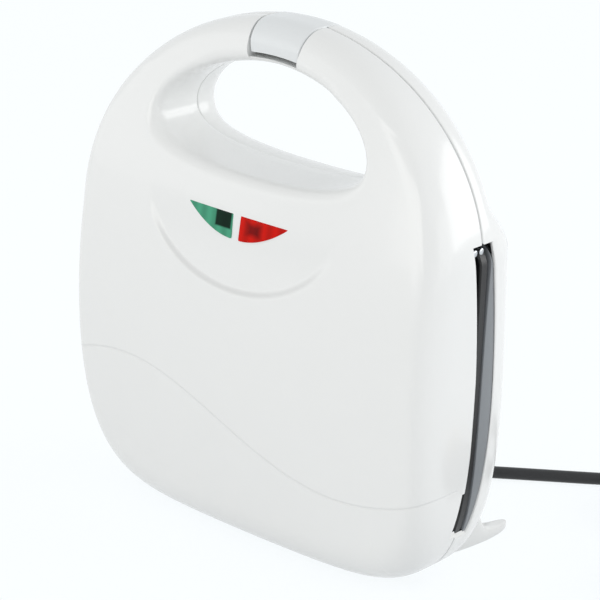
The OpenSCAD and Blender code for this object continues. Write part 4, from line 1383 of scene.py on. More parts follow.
@dataclass(frozen=True)
class Latch:
    """Band clipped over the top of the handle, hinged on the lid.

    Its section follows the two housing halves at the top of the handle, a little proud, and
    is swept about the centre of the handle's bend. Its front tucks in towards its lower
    edge. The band thins towards its two sides in a quarter circle, which rounds their edges,
    and its two front corners are cut in a quarter circle too. A bead runs along its back
    edge.
    """

    width: float = 0.033
    thickness: float = 0.0034
    proud: float = 0.0002
    front_z: float = 0.2464
    tuck: float = 0.0015
    tuck_span: Tuple[float, float] = (0.2464, 0.2530)
    corner: float = 0.0016
    back_z: float = 0.2520
    bead: float = 0.0024
    bead_share: float = 0.055
    round: float = 0.0009
    inner_round: float = 0.6
    end_round: float = 0.0005
    end_power: float = 0.6
    end_shares: Tuple[float, ...] = (0.08, 0.3, 0.5, 0.7, 0.92)
    stations: int = 60
    samples: int = 120
    barrel_r: float = 0.003
    pivot_y: float = 0.011778
    pivot_z: float = 0.2486
    pin_r: float = 0.0015
    pin_reach: float = 0.0213

    def half_section(self, half: Housing, stop: float) -> Points:
        """Line of one housing half at x = 0, from its parting edge down to a height.

        Args:
            half: the housing half.
            stop: the height at which the line ends.

        Returns:
            Points (y, z).
        """
        d, y = half.outer_rows(np.array([1e-3]))
        line = points(half.side.value * y[0], half.outline.height - d[0])[half.lip_rows - 1 :]
        last = int(np.argmin(line[:, 1] >= stop))
        share = (stop - line[last - 1, 1]) / (line[last, 1] - line[last - 1, 1])
        return np.vstack([line[:last], line[last - 1] + (line[last] - line[last - 1]) * share])

    def section(self, shells: Shells) -> Tuple[Points, Points]:
        """Section that the band follows, from its back edge over the top to its front edge.

        Args:
            shells: the two housing halves.

        Returns:
            Points (y, z) at x = 0, evenly spaced, and their outward normals.
        """
        back = self.half_section(shells.base, self.back_z)
        front = self.half_section(shells.lid, self.front_z)
        front[:, 0] += self.tuck * (1 - past(front[:, 1], self.tuck_span))
        full = np.vstack([back[::-1], front])
        mid = walk(full, np.linspace(0, reach_along(full)[-1], self.samples))
        along = np.gradient(mid, axis=0)
        normal = unit(points(along[:, 1], -along[:, 0]))
        return mid, normal * np.sign(normal[self.samples // 2, 1])

    def end(self, out: Points, inner: Points, ahead: Points) -> Points:
        """Round an end of the band by a swell between its two faces: sin^end_power of the way.

        Args:
            out: last points of the outer face, one for each station.
            inner: last points of the inner face.
            ahead: direction in which the end points.

        Returns:
            A few points for each station, from the outer to the inner face.
        """
        f = np.array(self.end_shares)[:, None]
        swell = self.end_round * np.sin(math.pi * f) ** self.end_power
        return out[:, None] + (inner - out)[:, None] * f + unit(ahead)[:, None] * swell

    def skin(self, shells: Shells) -> Skin:
        """The band with its bead, swept about the centre of the handle's bend.

        Args:
            shells: the two housing halves.

        Returns:
            The band.
        """
        line, normals = self.section(shells)
        outline = shells.lid.outline
        x = np.linspace(-1, 1, self.stations)
        x = (np.sign(x) * (1 - (1 - np.abs(x)) ** 2) * self.width / 2)[:, None]
        inset, cut = (r * (1 - np.sqrt(1 - (1 - np.minimum(1.0, (self.width / 2 - np.abs(x)) / r)) ** 2))
                      for r in (self.round, self.corner))
        s = np.linspace(0, 1, self.samples)
        at = s * (reach_along(line)[-1] - cut)
        mid = walk(line, at)
        normal = walk(line, at, normals)
        bead = self.bead * np.clip(1 - s / self.bead_share, 0, 1) ** 0.5
        out = mid + normal * (self.proud - inset)[..., None]
        inner = mid - normal * (self.thickness - inset * self.inner_round + bead)[..., None]
        front = self.end(out[:, -1], inner[:, -1], mid[:, -1] - mid[:, -2])
        back = self.end(out[:, 0], inner[:, 0], mid[:, 0] - mid[:, 1])
        ring = np.concatenate([out, front, inner[:, ::-1], back[:, ::-1]], 1)
        turn = x / (outline.height - outline.bend_z)
        high = ring[..., 1] - outline.bend_z
        x, z = high * np.sin(turn), outline.bend_z + high * np.cos(turn)
        return grid_skin(points(x, PARTING_Y + ring[..., 0], z))

    def build(self, shells: Shells) -> None:
        """Make the latch and its pin.

        Args:
            shells: the two housing halves.
        """
        centre = (0, PARTING_Y - self.pivot_y, self.pivot_z)
        half = self.width / 2 - 0.5 * MM
        barrel = lathe(rounded_profile(self.barrel_r, -half, half, 0.4 * MM), centre, Axis.X, 40)
        Piece("latch_band", [self.skin(shells), barrel], LATCH_WHITE, "latch", ["latch"], "white_plastic")
        reach = self.pin_reach
        pin = lathe(rounded_profile(self.pin_r, -reach, reach, 0.2 * MM), centre, Axis.X, 24)
        Piece("latch_hinge_pin", [pin], STEEL, "lid", ["latch_pin"], "steel")


# ---- Lights ----


@dataclass(frozen=True)
class IndicatorLights:
    """Green and red lenses side by side under the finger hole.

    A lens is straight along its top and its inner side and curves up to a point. It is
    built as rings shrinking towards its middle, so that its rim is rounded and its face
    domed, and lies on the lid's own surface.
    """

    top: float = 0.1735
    low: float = 0.1616
    gap: float = 0.0046
    length: float = 0.029
    power: float = 1.9
    tip_share: float = 0.985
    corner: float = 0.0009
    samples: int = 240
    sink: float = 0.0003
    shade_x: float = 0.01
    shade_rise: float = 0.001
    ring_scales: Tuple[float, ...] = (1.0, 1.0, 0.995, 0.975, 0.93, 0.7, 0.4)
    ring_levels: Tuple[float, ...] = (-0.003, -0.0001, 0.0002, 0.00034, 0.0004, 0.0004, 0.0004)

    def outline(self) -> Points:
        """Outline of the red lens, whose lower edge rises as a power of the distance.

        Returns:
            Points (x, z), evenly spaced, with corners rounded by a moving average.
        """
        s = np.linspace(0, 1, 60)
        left, right = self.gap / 2, self.gap / 2 + self.length
        rise = (self.top - self.low) * s ** self.power * self.tip_share
        curve = points(left + self.length * s, self.low + rise)
        line = np.vstack([[left, self.top], curve, [right, self.top], [left, self.top]])
        whole = reach_along(line)[-1]
        ring = walk(line, np.linspace(0, whole, self.samples + 1)[:-1])
        span = int(self.corner / (whole / self.samples)) + 1
        kernel = np.hanning(2 * span + 1)
        wide = np.vstack([ring[-span:], ring, ring[:span]])
        return points(*(np.convolve(v, kernel / kernel.sum(), "valid") for v in wide.T))

    def skin(self, lid: LidHousing, side: float) -> Skin:
        """One lens: its outline shrunk and raised ring by ring over the lid's plain surface.

        Args:
            lid: the lid it lies on.
            side: 1 for the lens at +X, -1 for its mirror image.

        Returns:
            The lens.
        """
        ring = self.outline()
        centre = ring.mean(0)
        p = centre + (ring - centre) * np.array(self.ring_scales)[:, None, None]
        depth = lid.plain_depth(p[..., 0], p[..., 1]) + np.array(self.ring_levels)[:, None] - self.sink
        return grid_skin(points(side * p[..., 0], PARTING_Y - depth, p[..., 1]))

    def build(self, lid: LidHousing) -> None:
        """Make both lenses, each darkened by a block of painted shade where a lamp's holder sits behind it.

        Args:
            lid: the lid they lie on.
        """
        z = (self.top + self.low) / 2 + self.shade_rise
        y = PARTING_Y - float(lid.plain_depth(np.array([self.shade_x]), np.array([z]))[0])
        # painted shade: `dark` is the colour of the block of shade on each lens
        red = LensPlastic("red_lens_plastic", "#c81204", dark="#7a0403", lamp=(0.0113, y, z),
                          reach=(0.0041, 0.02, 0.0026), blur=0.5)
        green = LensPlastic("green_lens_plastic", "#4a9c7c", dark="#042417",
                            lamp=(-0.0080, y, z + 1.6 * MM), reach=(0.0050, 0.02, 0.0042), blur=0.1)
        for name, side, finish in (("red", 1.0, red), ("green", -1.0, green)):
            lens = f"{name}_lens"
            Piece(f"{name}_indicator", [self.skin(lid, side)], finish, "lid", [lens], lens)


# ---- Plates, frame and fasteners ----


@dataclass(frozen=True)
class CookingPlate:
    """Cast plate with four triangular pockets, as a height field over its outline.

    The front is flat except for the pockets, whose walls slope down with rounded edges;
    the back has the raised pan behind them.
    """

    low: float = 0.030
    high: float = 0.176
    half_w: float = 0.1117
    corner: float = 0.010
    face: float = 0.0004
    flange: float = 0.0035
    gap: float = 0.0033
    pan_back: float = 0.0132
    pan_x: float = 0.102
    pan_z: Tuple[float, float] = (0.041, 0.165)
    pan_slope: Tuple[float, float] = (-0.001, 0.002)
    depth: float = 0.010
    slope: float = 0.00598
    blend: float = 0.0035
    grow: float = 0.0008
    edge: float = 0.0008
    cols: int = 210
    lines: int = 150
    pockets: Tuple[Tuple[Tuple[float, float], ...], ...] = (
        ((0.0035, 0.159), (0.0035, 0.0547), (0.0883, 0.159)),
        ((0.096, 0.047), (0.096, 0.1513), (0.0112, 0.047)))

    def half_width(self, z: Array) -> Array:
        """Half width of the plate at a height.

        It is straight, but stays `gap` inside the housing's superellipse, and its upper
        corners are quarter circles.

        Args:
            z: heights.

        Returns:
            Half widths.
        """
        o = Outline()
        down = (o.wide_z - np.minimum(z, o.wide_z)) / o.wide_z
        body = o.width / 2 * spow(1 - down ** o.corner_power, 1 / o.corner_power)
        up = np.clip((z - (self.high - self.corner)) / self.corner, 0, 1)
        return np.minimum(self.half_w, body - self.gap) - self.corner * (1 - np.sqrt(1 - up ** 2))

    def side_heights(self, count: int, rounding: int) -> Array:
        """Heights up a side: even below the upper corner, and even in angle round it."""
        z = np.linspace(self.low, self.high, count)
        corner = self.high - self.corner * (1 - np.sin(np.linspace(0, QUARTER, rounding)))
        return np.concatenate([z[z < self.high - self.corner], corner])

    def pocket(self, x: Array, z: Array) -> Array:
        """How deep the face lies below its flat.

        The distance inside a triangle is the smooth least of the distances to its sides,
        -blend log(sum exp(-distance / blend)), and the wall is an eased step over it.

        Args:
            x: places across.
            z: heights.

        Returns:
            Depths, 0 outside the pockets.
        """
        x = np.abs(x)
        deep = np.zeros_like(x)
        for corners in np.array(self.pockets):
            middle = corners.mean(0)
            soft = np.zeros_like(x)
            for a, b in zip(corners, np.roll(corners, -1, 0)):
                inward = unit(np.array([a[1] - b[1], b[0] - a[0]]))
                inward = inward * np.sign(np.dot(middle - a, inward))
                soft = soft + np.exp(-((x - a[0]) * inward[0] + (z - a[1]) * inward[1]) / self.blend)
            inside = self.grow - self.blend * np.log(soft)
            deep = np.maximum(deep, self.depth * ease(inside / self.slope))
        return deep

    def skin(self) -> Skin:
        """The lower plate: front and back of the height field, closed at both ends.

        Returns:
            The plate; the upper one is its mirror image across the parting plane.
        """
        z = self.side_heights(self.lines, 14)[:, None]
        w = self.half_width(z)
        s = np.linspace(-1, 1, self.cols)
        x = w * s
        near = np.minimum(w * (1 - np.abs(s)), np.minimum(z - self.low, self.high - z))
        lip = self.edge * (1 - np.sqrt(1 - (1 - np.clip(near / self.edge, 0, 1)) ** 2))
        front = self.face + self.pocket(x, z + 0 * x) + lip
        pan = np.minimum(self.pan_x - np.abs(x), np.minimum(z - self.pan_z[0], self.pan_z[1] - z))
        flat = self.face + self.flange
        back = flat + (self.pan_back - flat) * past(pan, self.pan_slope)
        faces = [points(x, PARTING_Y + front, z), points(x, PARTING_Y + back, z)[:, ::-1]]
        skin = grid_skin(np.concatenate(faces, 1), cap=False)
        k = np.arange(self.cols - 1)
        ends = points(k, k + 1, 2 * self.cols - 2 - k, 2 * self.cols - 1 - k)
        last = len(skin.verts) - 2 * self.cols
        return Skin(skin.verts, np.vstack([skin.quads, ends, (ends + last)[:, ::-1]])).outward()


@dataclass(frozen=True)
class RimFrame:
    """Grey band behind the lower plate's flange, swept round the plate's outline.

    Its front edge bows back towards both ends of the side slots as the square of the
    distance from their middle, and its back edge follows the base's own edge.
    """

    front: float = 0.0056
    bow: float = 0.0017
    middle_z: float = 0.092
    reach_z: float = 0.076
    clear: float = 0.0002
    depth: float = 0.0056
    edge: float = 0.0004
    edge_share: float = 0.45
    grow: float = 0.0007

    def outline(self, plate: CookingPlate) -> Points:
        """Outline of a plate.

        Args:
            plate: the plate.

        Returns:
            Points (x, z), once round from its lower corner at +X.
        """
        straight = np.linspace(plate.low, plate.high - plate.corner, 90)[:-1]
        corner = plate.high - plate.corner * (1 - np.sin(np.linspace(0, QUARTER, 12)))
        z = np.concatenate([straight, corner])
        w = plate.half_width(z)
        top, low = np.linspace(w[-1], -w[-1], 40)[1:-1], np.linspace(-w[0], w[0], 60)[1:-1]
        return np.vstack([points(w, z), points(top, plate.high), points(-w, z)[::-1], points(low, plate.low)])

    def skin(self, plate: CookingPlate) -> Skin:
        """The band as a closed ring: its section's outer corners are quarter circles.

        Args:
            plate: the plate that it runs round.

        Returns:
            The band.
        """
        loop = self.outline(plate)
        ahead = unit(np.roll(loop, -1, 0) - np.roll(loop, 1, 0))
        first = (self.front + self.bow * ((loop[:, 1] - self.middle_z) / self.reach_z) ** 2)[:, None]
        last = (BaseHousing().slot_edge(loop[:, 1]) - self.clear)[:, None]
        edge = np.minimum(self.edge, (last - first) * self.edge_share)
        t = np.linspace(0, QUARTER, 4)
        inset, rise = edge * (1 - np.sin(t)), edge * (1 - np.cos(t))
        inner = 0 * edge - self.depth
        out = np.hstack([self.grow - inset, self.grow - inset[:, ::-1], inner, inner])
        y = np.hstack([first + rise, last - rise[:, ::-1], last, first])
        x, z = loop[:, :1] + ahead[:, 1:] * out, loop[:, 1:] - ahead[:, :1] * out
        return grid_skin(points(x, PARTING_Y + y, z), wrap_cols=True)


@dataclass(frozen=True)
class Screw:
    """Round-headed screw with a cross recess, as rings round its axis.

    The cross is pressed into the dome: a ring's height falls where its angle is close to
    one of the four arms.
    """

    shaft: float = 0.0015
    head: float = 0.003
    head_h: float = 0.0018
    length: float = 0.014
    rim: float = 0.35
    dome_power: float = 0.9
    cross: float = 0.45
    arm_w: float = 0.12
    arm_edge: float = 1.4
    arm_reach: float = 0.62
    point: float = 0.001
    rings: int = 8

    def skin(self, place: Callable[[Points], Points]) -> Skin:
        """The screw with its head towards +Z and its seat at height 0, then placed.

        Args:
            place: moves the points to the screw's place.

        Returns:
            The screw.
        """
        a = np.linspace(0, FULL, 64, endpoint=False)
        t = np.linspace(QUARTER, 0, self.rings)[:, None]
        r = np.maximum(self.head * spow(np.cos(t), self.dome_power), 0.01 * MM)
        arm = np.minimum(np.abs(np.sin(a)), np.abs(np.cos(a))) * r
        near = ease(self.arm_edge - arm / (self.head * self.arm_w)) * (r < self.head * self.arm_reach)
        h = self.head_h * (self.rim + (1 - self.rim) * np.sin(t) - self.cross * near)
        tail = np.array([(self.head, 0), (self.shaft, 0), (self.shaft, self.point - self.length),
                         (self.shaft / 2, -self.length)])
        r, h = np.vstack([r, tail[:, :1]]), np.vstack([h, tail[:, 1:] + 0 * a])
        skin = grid_skin(points(r * np.cos(a), r * np.sin(a), h))
        return skin.moved(place(skin.verts))


def towards_y(x: float, y: float, z: float, sign: float) -> Callable[[Points], Points]:
    """Placement of a screw whose head points along sign * Y."""
    return lambda v: points(v[:, 0] + x, sign * v[:, 2] + y, v[:, 1] + z)


def towards_x(x: float, y: float, z: float, sign: float) -> Callable[[Points], Points]:
    """Placement of a screw whose head points along sign * X."""
    return lambda v: points(sign * v[:, 2] + x, v[:, 0] + y, v[:, 1] + z)


@dataclass(frozen=True)
class PlatePack:
    """Both cooking plates with the frame between them and the screws that hold them."""

    upper: CookingPlate = field(default_factory=CookingPlate)
    lower: CookingPlate = field(
        default_factory=lambda: CookingPlate(half_w=0.1132, gap=0.0018, flange=0.0046))
    screw: Screw = field(default_factory=Screw)
    edge_screw: Screw = field(
        default_factory=lambda: Screw(head=0.0017, head_h=0.0007, length=0.008, cross=0.0))
    screw_seat: float = 0.0024
    edge_sink: float = 0.0022
    edge_z: float = 0.1735

    def build(self, shells: Shells) -> None:
        """Make the plates, the rim frame and the visible screws.

        Args:
            shells: the housing halves, whose posts take the screws.
        """
        for name, body, side, plate in (("lower", "base", Side.BASE, self.lower),
                                        ("upper", "lid", Side.LID, self.upper)):
            sign = side.value
            skin = plate.skin() if side is Side.BASE else plate.skin().flipped_y()
            Piece(f"{name}_cooking_plate", [skin], NONSTICK, body, [f"{name}_plate"], "nonstick")
            seat = PARTING_Y + sign * self.screw_seat
            skins = [self.screw.skin(towards_y(s * x, seat, z, -sign))
                     for x, z in shells.posts for s in (-1, 1)]
            Piece(f"{name}_screws", skins, STEEL, body, [f"{name}_plate_screws"], "steel")
            mid = PARTING_Y + sign * (plate.face + plate.flange / 2)
            edge = self.lower.half_w - self.edge_sink
            skins = [self.edge_screw.skin(towards_x(s * edge, mid, self.edge_z, s)) for s in (-1.0, 1.0)]
            Piece(f"{name}_edge_screws", skins, STEEL, body, [f"{name}_side_screws"], "steel")
        Piece("rim_frame", [RimFrame().skin(self.lower)], GREY, "base", ["base_rim_frame"], "grey_plastic")


# ---- Feet, hinge and small parts ----


@dataclass(frozen=True)
class SmallParts:
    """Rubber feet, hinge pins, wire conduit and the parts inside the housing.

    `pad_rings` are the rings of a foot's dish, as shares of its radius and of its depth.
    """

    pad_spots: Tuple[Tuple[float, float], ...] = ((0.072, 0.042), (0.072, 0.158))
    pad_r: float = 0.009
    pad_depths: Tuple[float, float] = (0.0302, 0.0346)
    pad_edge: float = 0.0012
    pad_dish: float = 0.0005
    pad_rings: Tuple[Tuple[float, float], ...] = ((0.74, 0.0), (0.70, 0.6), (0.66, 1.0), (0.3, 1.0))
    pin_r: float = 0.002
    pin_span: Tuple[float, float] = (0.0385, 0.0661)
    conduit_r: float = 0.0058
    conduit_bore: float = 0.0046
    conduit_half: float = 0.0365

    def rubber_feet(self) -> None:
        """Four round feet with a soft rim, dished in the middle."""
        r, (low, high) = self.pad_r, (PARTING_Y + d for d in self.pad_depths)
        a = np.linspace(0, QUARTER, 7)
        rim = points(r - self.pad_edge * (1 - np.cos(a)), high - self.pad_edge * (1 - np.sin(a)))
        dish = [(share * r, high - sunk * self.pad_dish) for share, sunk in self.pad_rings]
        profile = np.vstack([[(0.999 * r, low)], rim, dish])
        skins = [lathe(profile, (s * x, 0, z), Axis.Y, 48) for x, z in self.pad_spots for s in (-1, 1)]
        Piece("pad_feet", skins, RUBBER, "base", ["rubber_feet"], "black_rubber")

    def hinge(self) -> None:
        """Two hinge pins, and the conduit that carries the wires over to the lid."""
        profile = rounded_profile(self.pin_r, *self.pin_span, 0.3 * MM)
        pin = lathe(profile, (0, PARTING_Y, HINGE_Z), Axis.X, 32)
        Piece("hinge_pin_pair", pin.with_mirror(), STEEL, "base", ["hinge_pins"], "steel")
        half, bore = self.conduit_half, self.conduit_bore
        outside = rounded_profile(self.conduit_r, -half, half, 0.6 * MM)
        r, x = np.vstack([outside, [(bore, half), (bore, -half)]]).T
        a = np.linspace(0, FULL, 48, endpoint=False)[:, None]
        ring = points(x, PARTING_Y + r * np.cos(a), HINGE_Z + r * np.sin(a))
        Piece("conduit", [grid_skin(ring, wrap_cols=True)], BLACK, "base", ["wire_conduit"], "black_plastic")

    def inside(self) -> None:
        """Finishes of the parts that only show when the toaster is taken apart."""
        for finish, slot, nodes in (
            (SHEATH, "element_sheath", ("lower_element", "upper_element")),
            (ALUMINISED, "reflector_sheet", ("lower_reflector", "upper_reflector")),
            (STEEL, "steel", ("lower_reflector_screws", "upper_reflector_screws", "cord_clamp_screws")),
            (CERAMIC, "ceramic", ("thermostat", "terminal_block", "cord_clamp")),
            (SLEEVE, "sleeve", ("thermal_fuse",)),
            (NATURAL, "natural_plastic", ("lamp_holder",)),
            (NEON, "lamp_glass", ("power_lamp", "ready_lamp")),
        ):
            for node in nodes:
                Piece.dress(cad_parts[node], finish, slot)
                log.info("dressed %s", node)


# ---- Mains lead ----


@dataclass(frozen=True)
class MainsLead:
    """Mains lead: strain relief, lead, coil held by a tie, and plug.

    The route's points are in the row frame, whose Y starts at the parting plane.
    """

    diameter: float = 0.0065
    exit_z: float = 0.018
    relief_end: float = 0.064
    lead: Tuple[Triple, ...] = (
        (0.0, 0.070, 0.0176), (0.0005, 0.077, 0.016), (0.002, 0.084, 0.0133), (0.0045, 0.091, 0.010),
        (0.0085, 0.098, 0.007), (0.014, 0.1045, 0.0048), (0.021, 0.1105, 0.0037), (0.0295, 0.1158, 0.0033),
        (0.039, 0.122, 0.0033), (0.047, 0.128, 0.0033), (0.055, 0.134, 0.0033), (0.067, 0.143, 0.0033),
        (0.079, 0.152, 0.0033), (0.091, 0.161, 0.0034), (0.103, 0.170, 0.0037), (0.113, 0.1775, 0.004),
    )
    tail: Tuple[Triple, ...] = (
        (0.1844, 0.146, 0.0104), (0.1846, 0.139, 0.0102), (0.1847, 0.131, 0.0101), (0.1847, 0.1225, 0.010),
        (0.1847, 0.1144, 0.010),
    )
    coil_centre: Tuple[float, float] = (0.145, 0.1524)
    coil_radii: Tuple[float, float] = (0.0392, 0.0327)
    coil_levels: Tuple[float, float] = (0.00405, 0.0106)
    start_angle: float = 126.9
    turns: float = 1206.9
    per_turn: int = 24
    steps_in: float = 330
    steps_up: float = 630
    steps_out: float = 930
    step_span: float = 60
    inside_r: float = 0.0016
    inside_span: Tuple[float, float] = (0.0141, 0.031)
    inside_step: float = 0.023
    flange_r: float = 0.0089
    flange_t: float = 0.003
    relief_start: float = 0.034
    relief_length: float = 0.030
    relief_walls: Tuple[float, float] = (0.0026, 0.0009)
    relief_thin: float = 0.0003
    ribs: int = 7
    rib_depth: float = 0.0007
    rib_share: float = 0.62
    rib_edge: float = 0.02
    tie_z: float = 0.0073
    tie_half: float = 0.0039
    tie_walls: Tuple[float, float, float] = (0.0066, 0.0069, 0.0072)
    plug_x: float = 0.1847
    plug_y: float = 0.108
    plug_half: Tuple[float, float] = (0.024, 0.023)
    plug_t: float = 0.020
    plug_rim: float = 0.0022
    plug_corner: float = 0.007
    cover_rim: float = 0.0004
    cover_corner: float = 0.0008
    neck: Tuple[Tuple[float, float], ...] = (
        (0.0049, -0.002), (0.0049, 0.0028), (0.0044, 0.0034), (0.0044, 0.0040), (0.0047, 0.0046),
        (0.0045, 0.0060), (0.0036, 0.0064))
    earth_pin: Triple = (0.002, 0.003, 0.0072)
    earth_y: float = 0.038
    live_pin: Triple = (0.003, 0.002, 0.0062)
    live_x: float = 0.011
    live_y: float = 0.014
    pin_edge: float = 0.0006
    pin_sink: float = 0.0004
    cover: Triple = (0.0047, 0.0126, 0.0019)
    cover_proud: float = 0.0001

    def coil(self) -> Points:
        """Centreline of the coil: two rings wide and two high, wound clockwise.

        Radius and height hold still for most of a turn and change over with smooth steps.

        Returns:
            Points, `per_turn` to a turn.
        """
        sweep = np.linspace(0, self.turns, int(self.turns / 360 * self.per_turn) + 1)
        inwards, climb, outwards = (past(sweep, (s, s + self.step_span))
                                    for s in (self.steps_in, self.steps_up, self.steps_out))
        r = self.coil_radii[0] + (self.coil_radii[1] - self.coil_radii[0]) * (inwards - outwards)
        z = self.coil_levels[0] + (self.coil_levels[1] - self.coil_levels[0]) * climb
        a = np.radians(self.start_angle - sweep)
        return points(self.coil_centre[0] + r * np.cos(a), self.coil_centre[1] + r * np.sin(a), z)

    def centreline(self) -> Points:
        """The route joined by a smooth curve, four steps to a span.

        Between points b and c with neighbours a and d, the Catmull-Rom curve is
        (2b + (c - a) t + (2a - 5b + 4c - d) t^2 + (3b - a - 3c + d) t^3) / 2.

        Returns:
            Points from the strain relief to the plug.
        """
        route = np.vstack([[(0.0, self.relief_end, self.exit_z)], self.lead, self.coil(), self.tail])
        p = route + [0, PARTING_Y, 0]
        ext = np.vstack([2 * p[0] - p[1], p, 2 * p[-1] - p[-2]])[:, None]
        a, b, c, d = ext[:-3], ext[1:-2], ext[2:-1], ext[3:]
        t = np.array([0.0, 0.25, 0.5, 0.75])[:, None]
        curve = 2 * b + (c - a) * t + (2 * a - 5 * b + 4 * c - d) * t ** 2 + (3 * b - a - 3 * c + d) * t ** 3
        return np.vstack([curve.reshape(-1, 3) / 2, p[-1:]])

    def relief(self) -> Skin:
        """Strain relief, turned about the lead's exit.

        Returns:
            The lead's end inside, a flange, and a taper cut into ribs.
        """
        y0, r = self.relief_start, self.diameter / 2
        first, last = self.inside_span
        wide, step = r + self.inside_r, self.inside_step
        inside = [(r * 0.98, first), (r * 0.98, step - 0.1 * MM), (wide, step), (wide, last)]
        rim, low = self.flange_r, y0 - self.flange_t
        flange = [(rim - 0.4 * MM, low), (rim, low + 0.4 * MM), (rim, y0 - 0.6 * MM), (rim - 0.6 * MM, y0)]
        rib = np.arange(self.ribs)[:, None] / self.ribs
        top = self.rib_share / self.ribs
        edge = self.rib_edge
        share = rib + np.array([edge, top, top + edge, (1 - edge) / self.ribs])
        thick, thin = self.relief_walls
        wall = thick + (thin - thick) * share - self.rib_depth * np.array([0, 0, 1, 1])
        taper = points(r + np.maximum(wall, self.relief_thin), y0 + self.relief_length * share).reshape(-1, 2)
        end = [(r + self.relief_thin, y0 + self.relief_length)]
        profile = np.vstack([inside, flange, taper, end]) + [0, PARTING_Y]
        return lathe(profile, (0, 0, self.exit_z), Axis.Y, 48)

    def tie(self) -> Skin:
        """Flat strap round the coil's section.

        Returns:
            A rounded square, with a flat hexagon as its own section.
        """
        a = np.linspace(0, FULL, 48, endpoint=False)[:, None]
        inner, mid, outer = self.tie_walls
        half, cut = self.tie_half, self.tie_half - (outer - mid)
        off = np.array([mid, outer, outer, mid, inner, inner])
        x = self.coil_centre[0] + np.array([cut, half, -half, -cut, -half, half])
        y, z = (off * np.sign(v) * np.abs(v) ** 0.5 for v in (np.cos(a), np.sin(a)))
        centre = self.coil_centre[1] - sum(self.coil_radii) / 2 + PARTING_Y
        return grid_skin(points(x, centre + y, self.tie_z + z), wrap_cols=True)

    def plug(self) -> Tuple[List[Skin], List[Skin], List[Skin]]:
        """Plug lying on its back.

        Returns:
            Its body with its neck, its three pins, and its fuse cover.
        """
        x, y, t = self.plug_x, self.plug_y + PARTING_Y, self.plug_t
        half_x, half_y = self.plug_half
        body = superbox((x, y - half_y, t / 2), (half_x, half_y, t / 2), self.plug_rim, self.plug_corner)
        neck = lathe(np.array(self.neck) + [0, y], (x, 0, t / 2), Axis.Y, 40)
        spots = ((0, self.earth_y, self.earth_pin), (-self.live_x, self.live_y, self.live_pin),
                 (self.live_x, self.live_y, self.live_pin))
        edge = self.pin_edge
        pins = [superbox((x + across, y - down, t + size[2] - self.pin_sink), size, edge, edge)
                for across, down, size in spots]
        level = t + self.cover_proud - self.cover[2]
        cover = superbox((x, y - half_y, level), self.cover, self.cover_rim, self.cover_corner)
        return [body, neck], pins, [cover]

    def build(self) -> None:
        Piece("strain_relief_sleeve", [self.relief()], RUBBER, "base", ["strain_relief"], "black_rubber")
        line = self.centreline()
        cord = Piece("mains_lead", [tube_skin(line, self.diameter / 2)], LEAD_PVC, "base",
                     ["cord_lead", "cord_coil", "cord_tail"], "cord_pvc")
        body, pins, cover = self.plug()
        rest = (("lead_tie", [self.tie()], BLACK, "cord_tie", "black_plastic"),
                ("plug", body, BLACK, "plug_body", "black_plastic"),
                ("plug_prongs", pins, BRASS, "plug_pins", "brass"),
                ("plug_fuse", cover, FUSE, "plug_fuse_cover", "fuse_plastic"))
        pieces = [Piece(name, skins, finish, "base", [node], slot)
                  for name, skins, finish, node, slot in rest]
        length = float(reach_along(line)[-1])
        log.info("mains lead: %.4f m long", length)


# ---- Studio ----


def place(obj: bpy.types.Object, right: Array, up: Array, back: Array, at: Array) -> None:
    """Put a camera or a lamp in the scene, looking against `back`.

    Args:
        obj: the camera or lamp.
        right: direction of its X axis.
        up: direction of its Y axis.
        back: direction of its Z axis.
        at: its place.
    """
    turn = np.eye(4)
    turn[:3] = points(right, up, back, at)
    obj.matrix_world = Matrix(turn.tolist())
    bpy.context.scene.collection.objects.link(obj)


@dataclass(frozen=True)
class Camera:
    """View of the toaster: azimuth and elevation about a point, with a small roll."""

    azimuth: float = 40.87
    elevation: float = 20.15
    roll: float = 1.97
    distance: float = 1.23349
    look_at: Triple = (0.0, -0.016, 0.125)
    lens: float = 152.36
    shift: Tuple[float, float] = (0.01573, -0.01367)

    def build(self) -> None:
        """Add the camera and make it the scene's."""
        az, el, roll = (math.radians(v) for v in (self.azimuth, self.elevation, self.roll))
        back = np.array([math.sin(az) * math.cos(el), -math.cos(az) * math.cos(el), math.sin(el)])
        level = np.array([math.cos(az), math.sin(az), 0.0])
        right = math.cos(roll) * level + math.sin(roll) * np.cross(back, level)
        data = bpy.data.cameras.new("camera")
        data.lens, data.sensor_width = self.lens, 36.0
        data.shift_x, data.shift_y = self.shift
        data.clip_start, data.clip_end = 0.01, 100.0
        cam = bpy.data.objects.new("camera", data)
        place(cam, right, np.cross(back, right), back, np.array(self.look_at) + back * self.distance)
        bpy.context.scene.camera = cam


@dataclass(frozen=True)
class SoftBox:
    """A rectangular area lamp aimed at a point."""

    name: str
    at: Triple
    size: Tuple[float, float]
    power: float
    colour: str = "#ffffff"
    aim: Triple = (0.0, 0.0, 0.12)

    def build(self) -> None:
        """Add the lamp."""
        data = bpy.data.lights.new(self.name, "AREA")
        data.shape = "RECTANGLE"
        data.size, data.size_y = self.size
        data.energy = self.power
        data.color = linear(self.colour)[:3]
        lamp = bpy.data.objects.new(self.name, data)
        back = unit(np.array(self.at) - np.array(self.aim))
        right = unit(np.cross([0, 0, 1.0], back))
        place(lamp, right, np.cross(back, right), back, np.array(self.at))


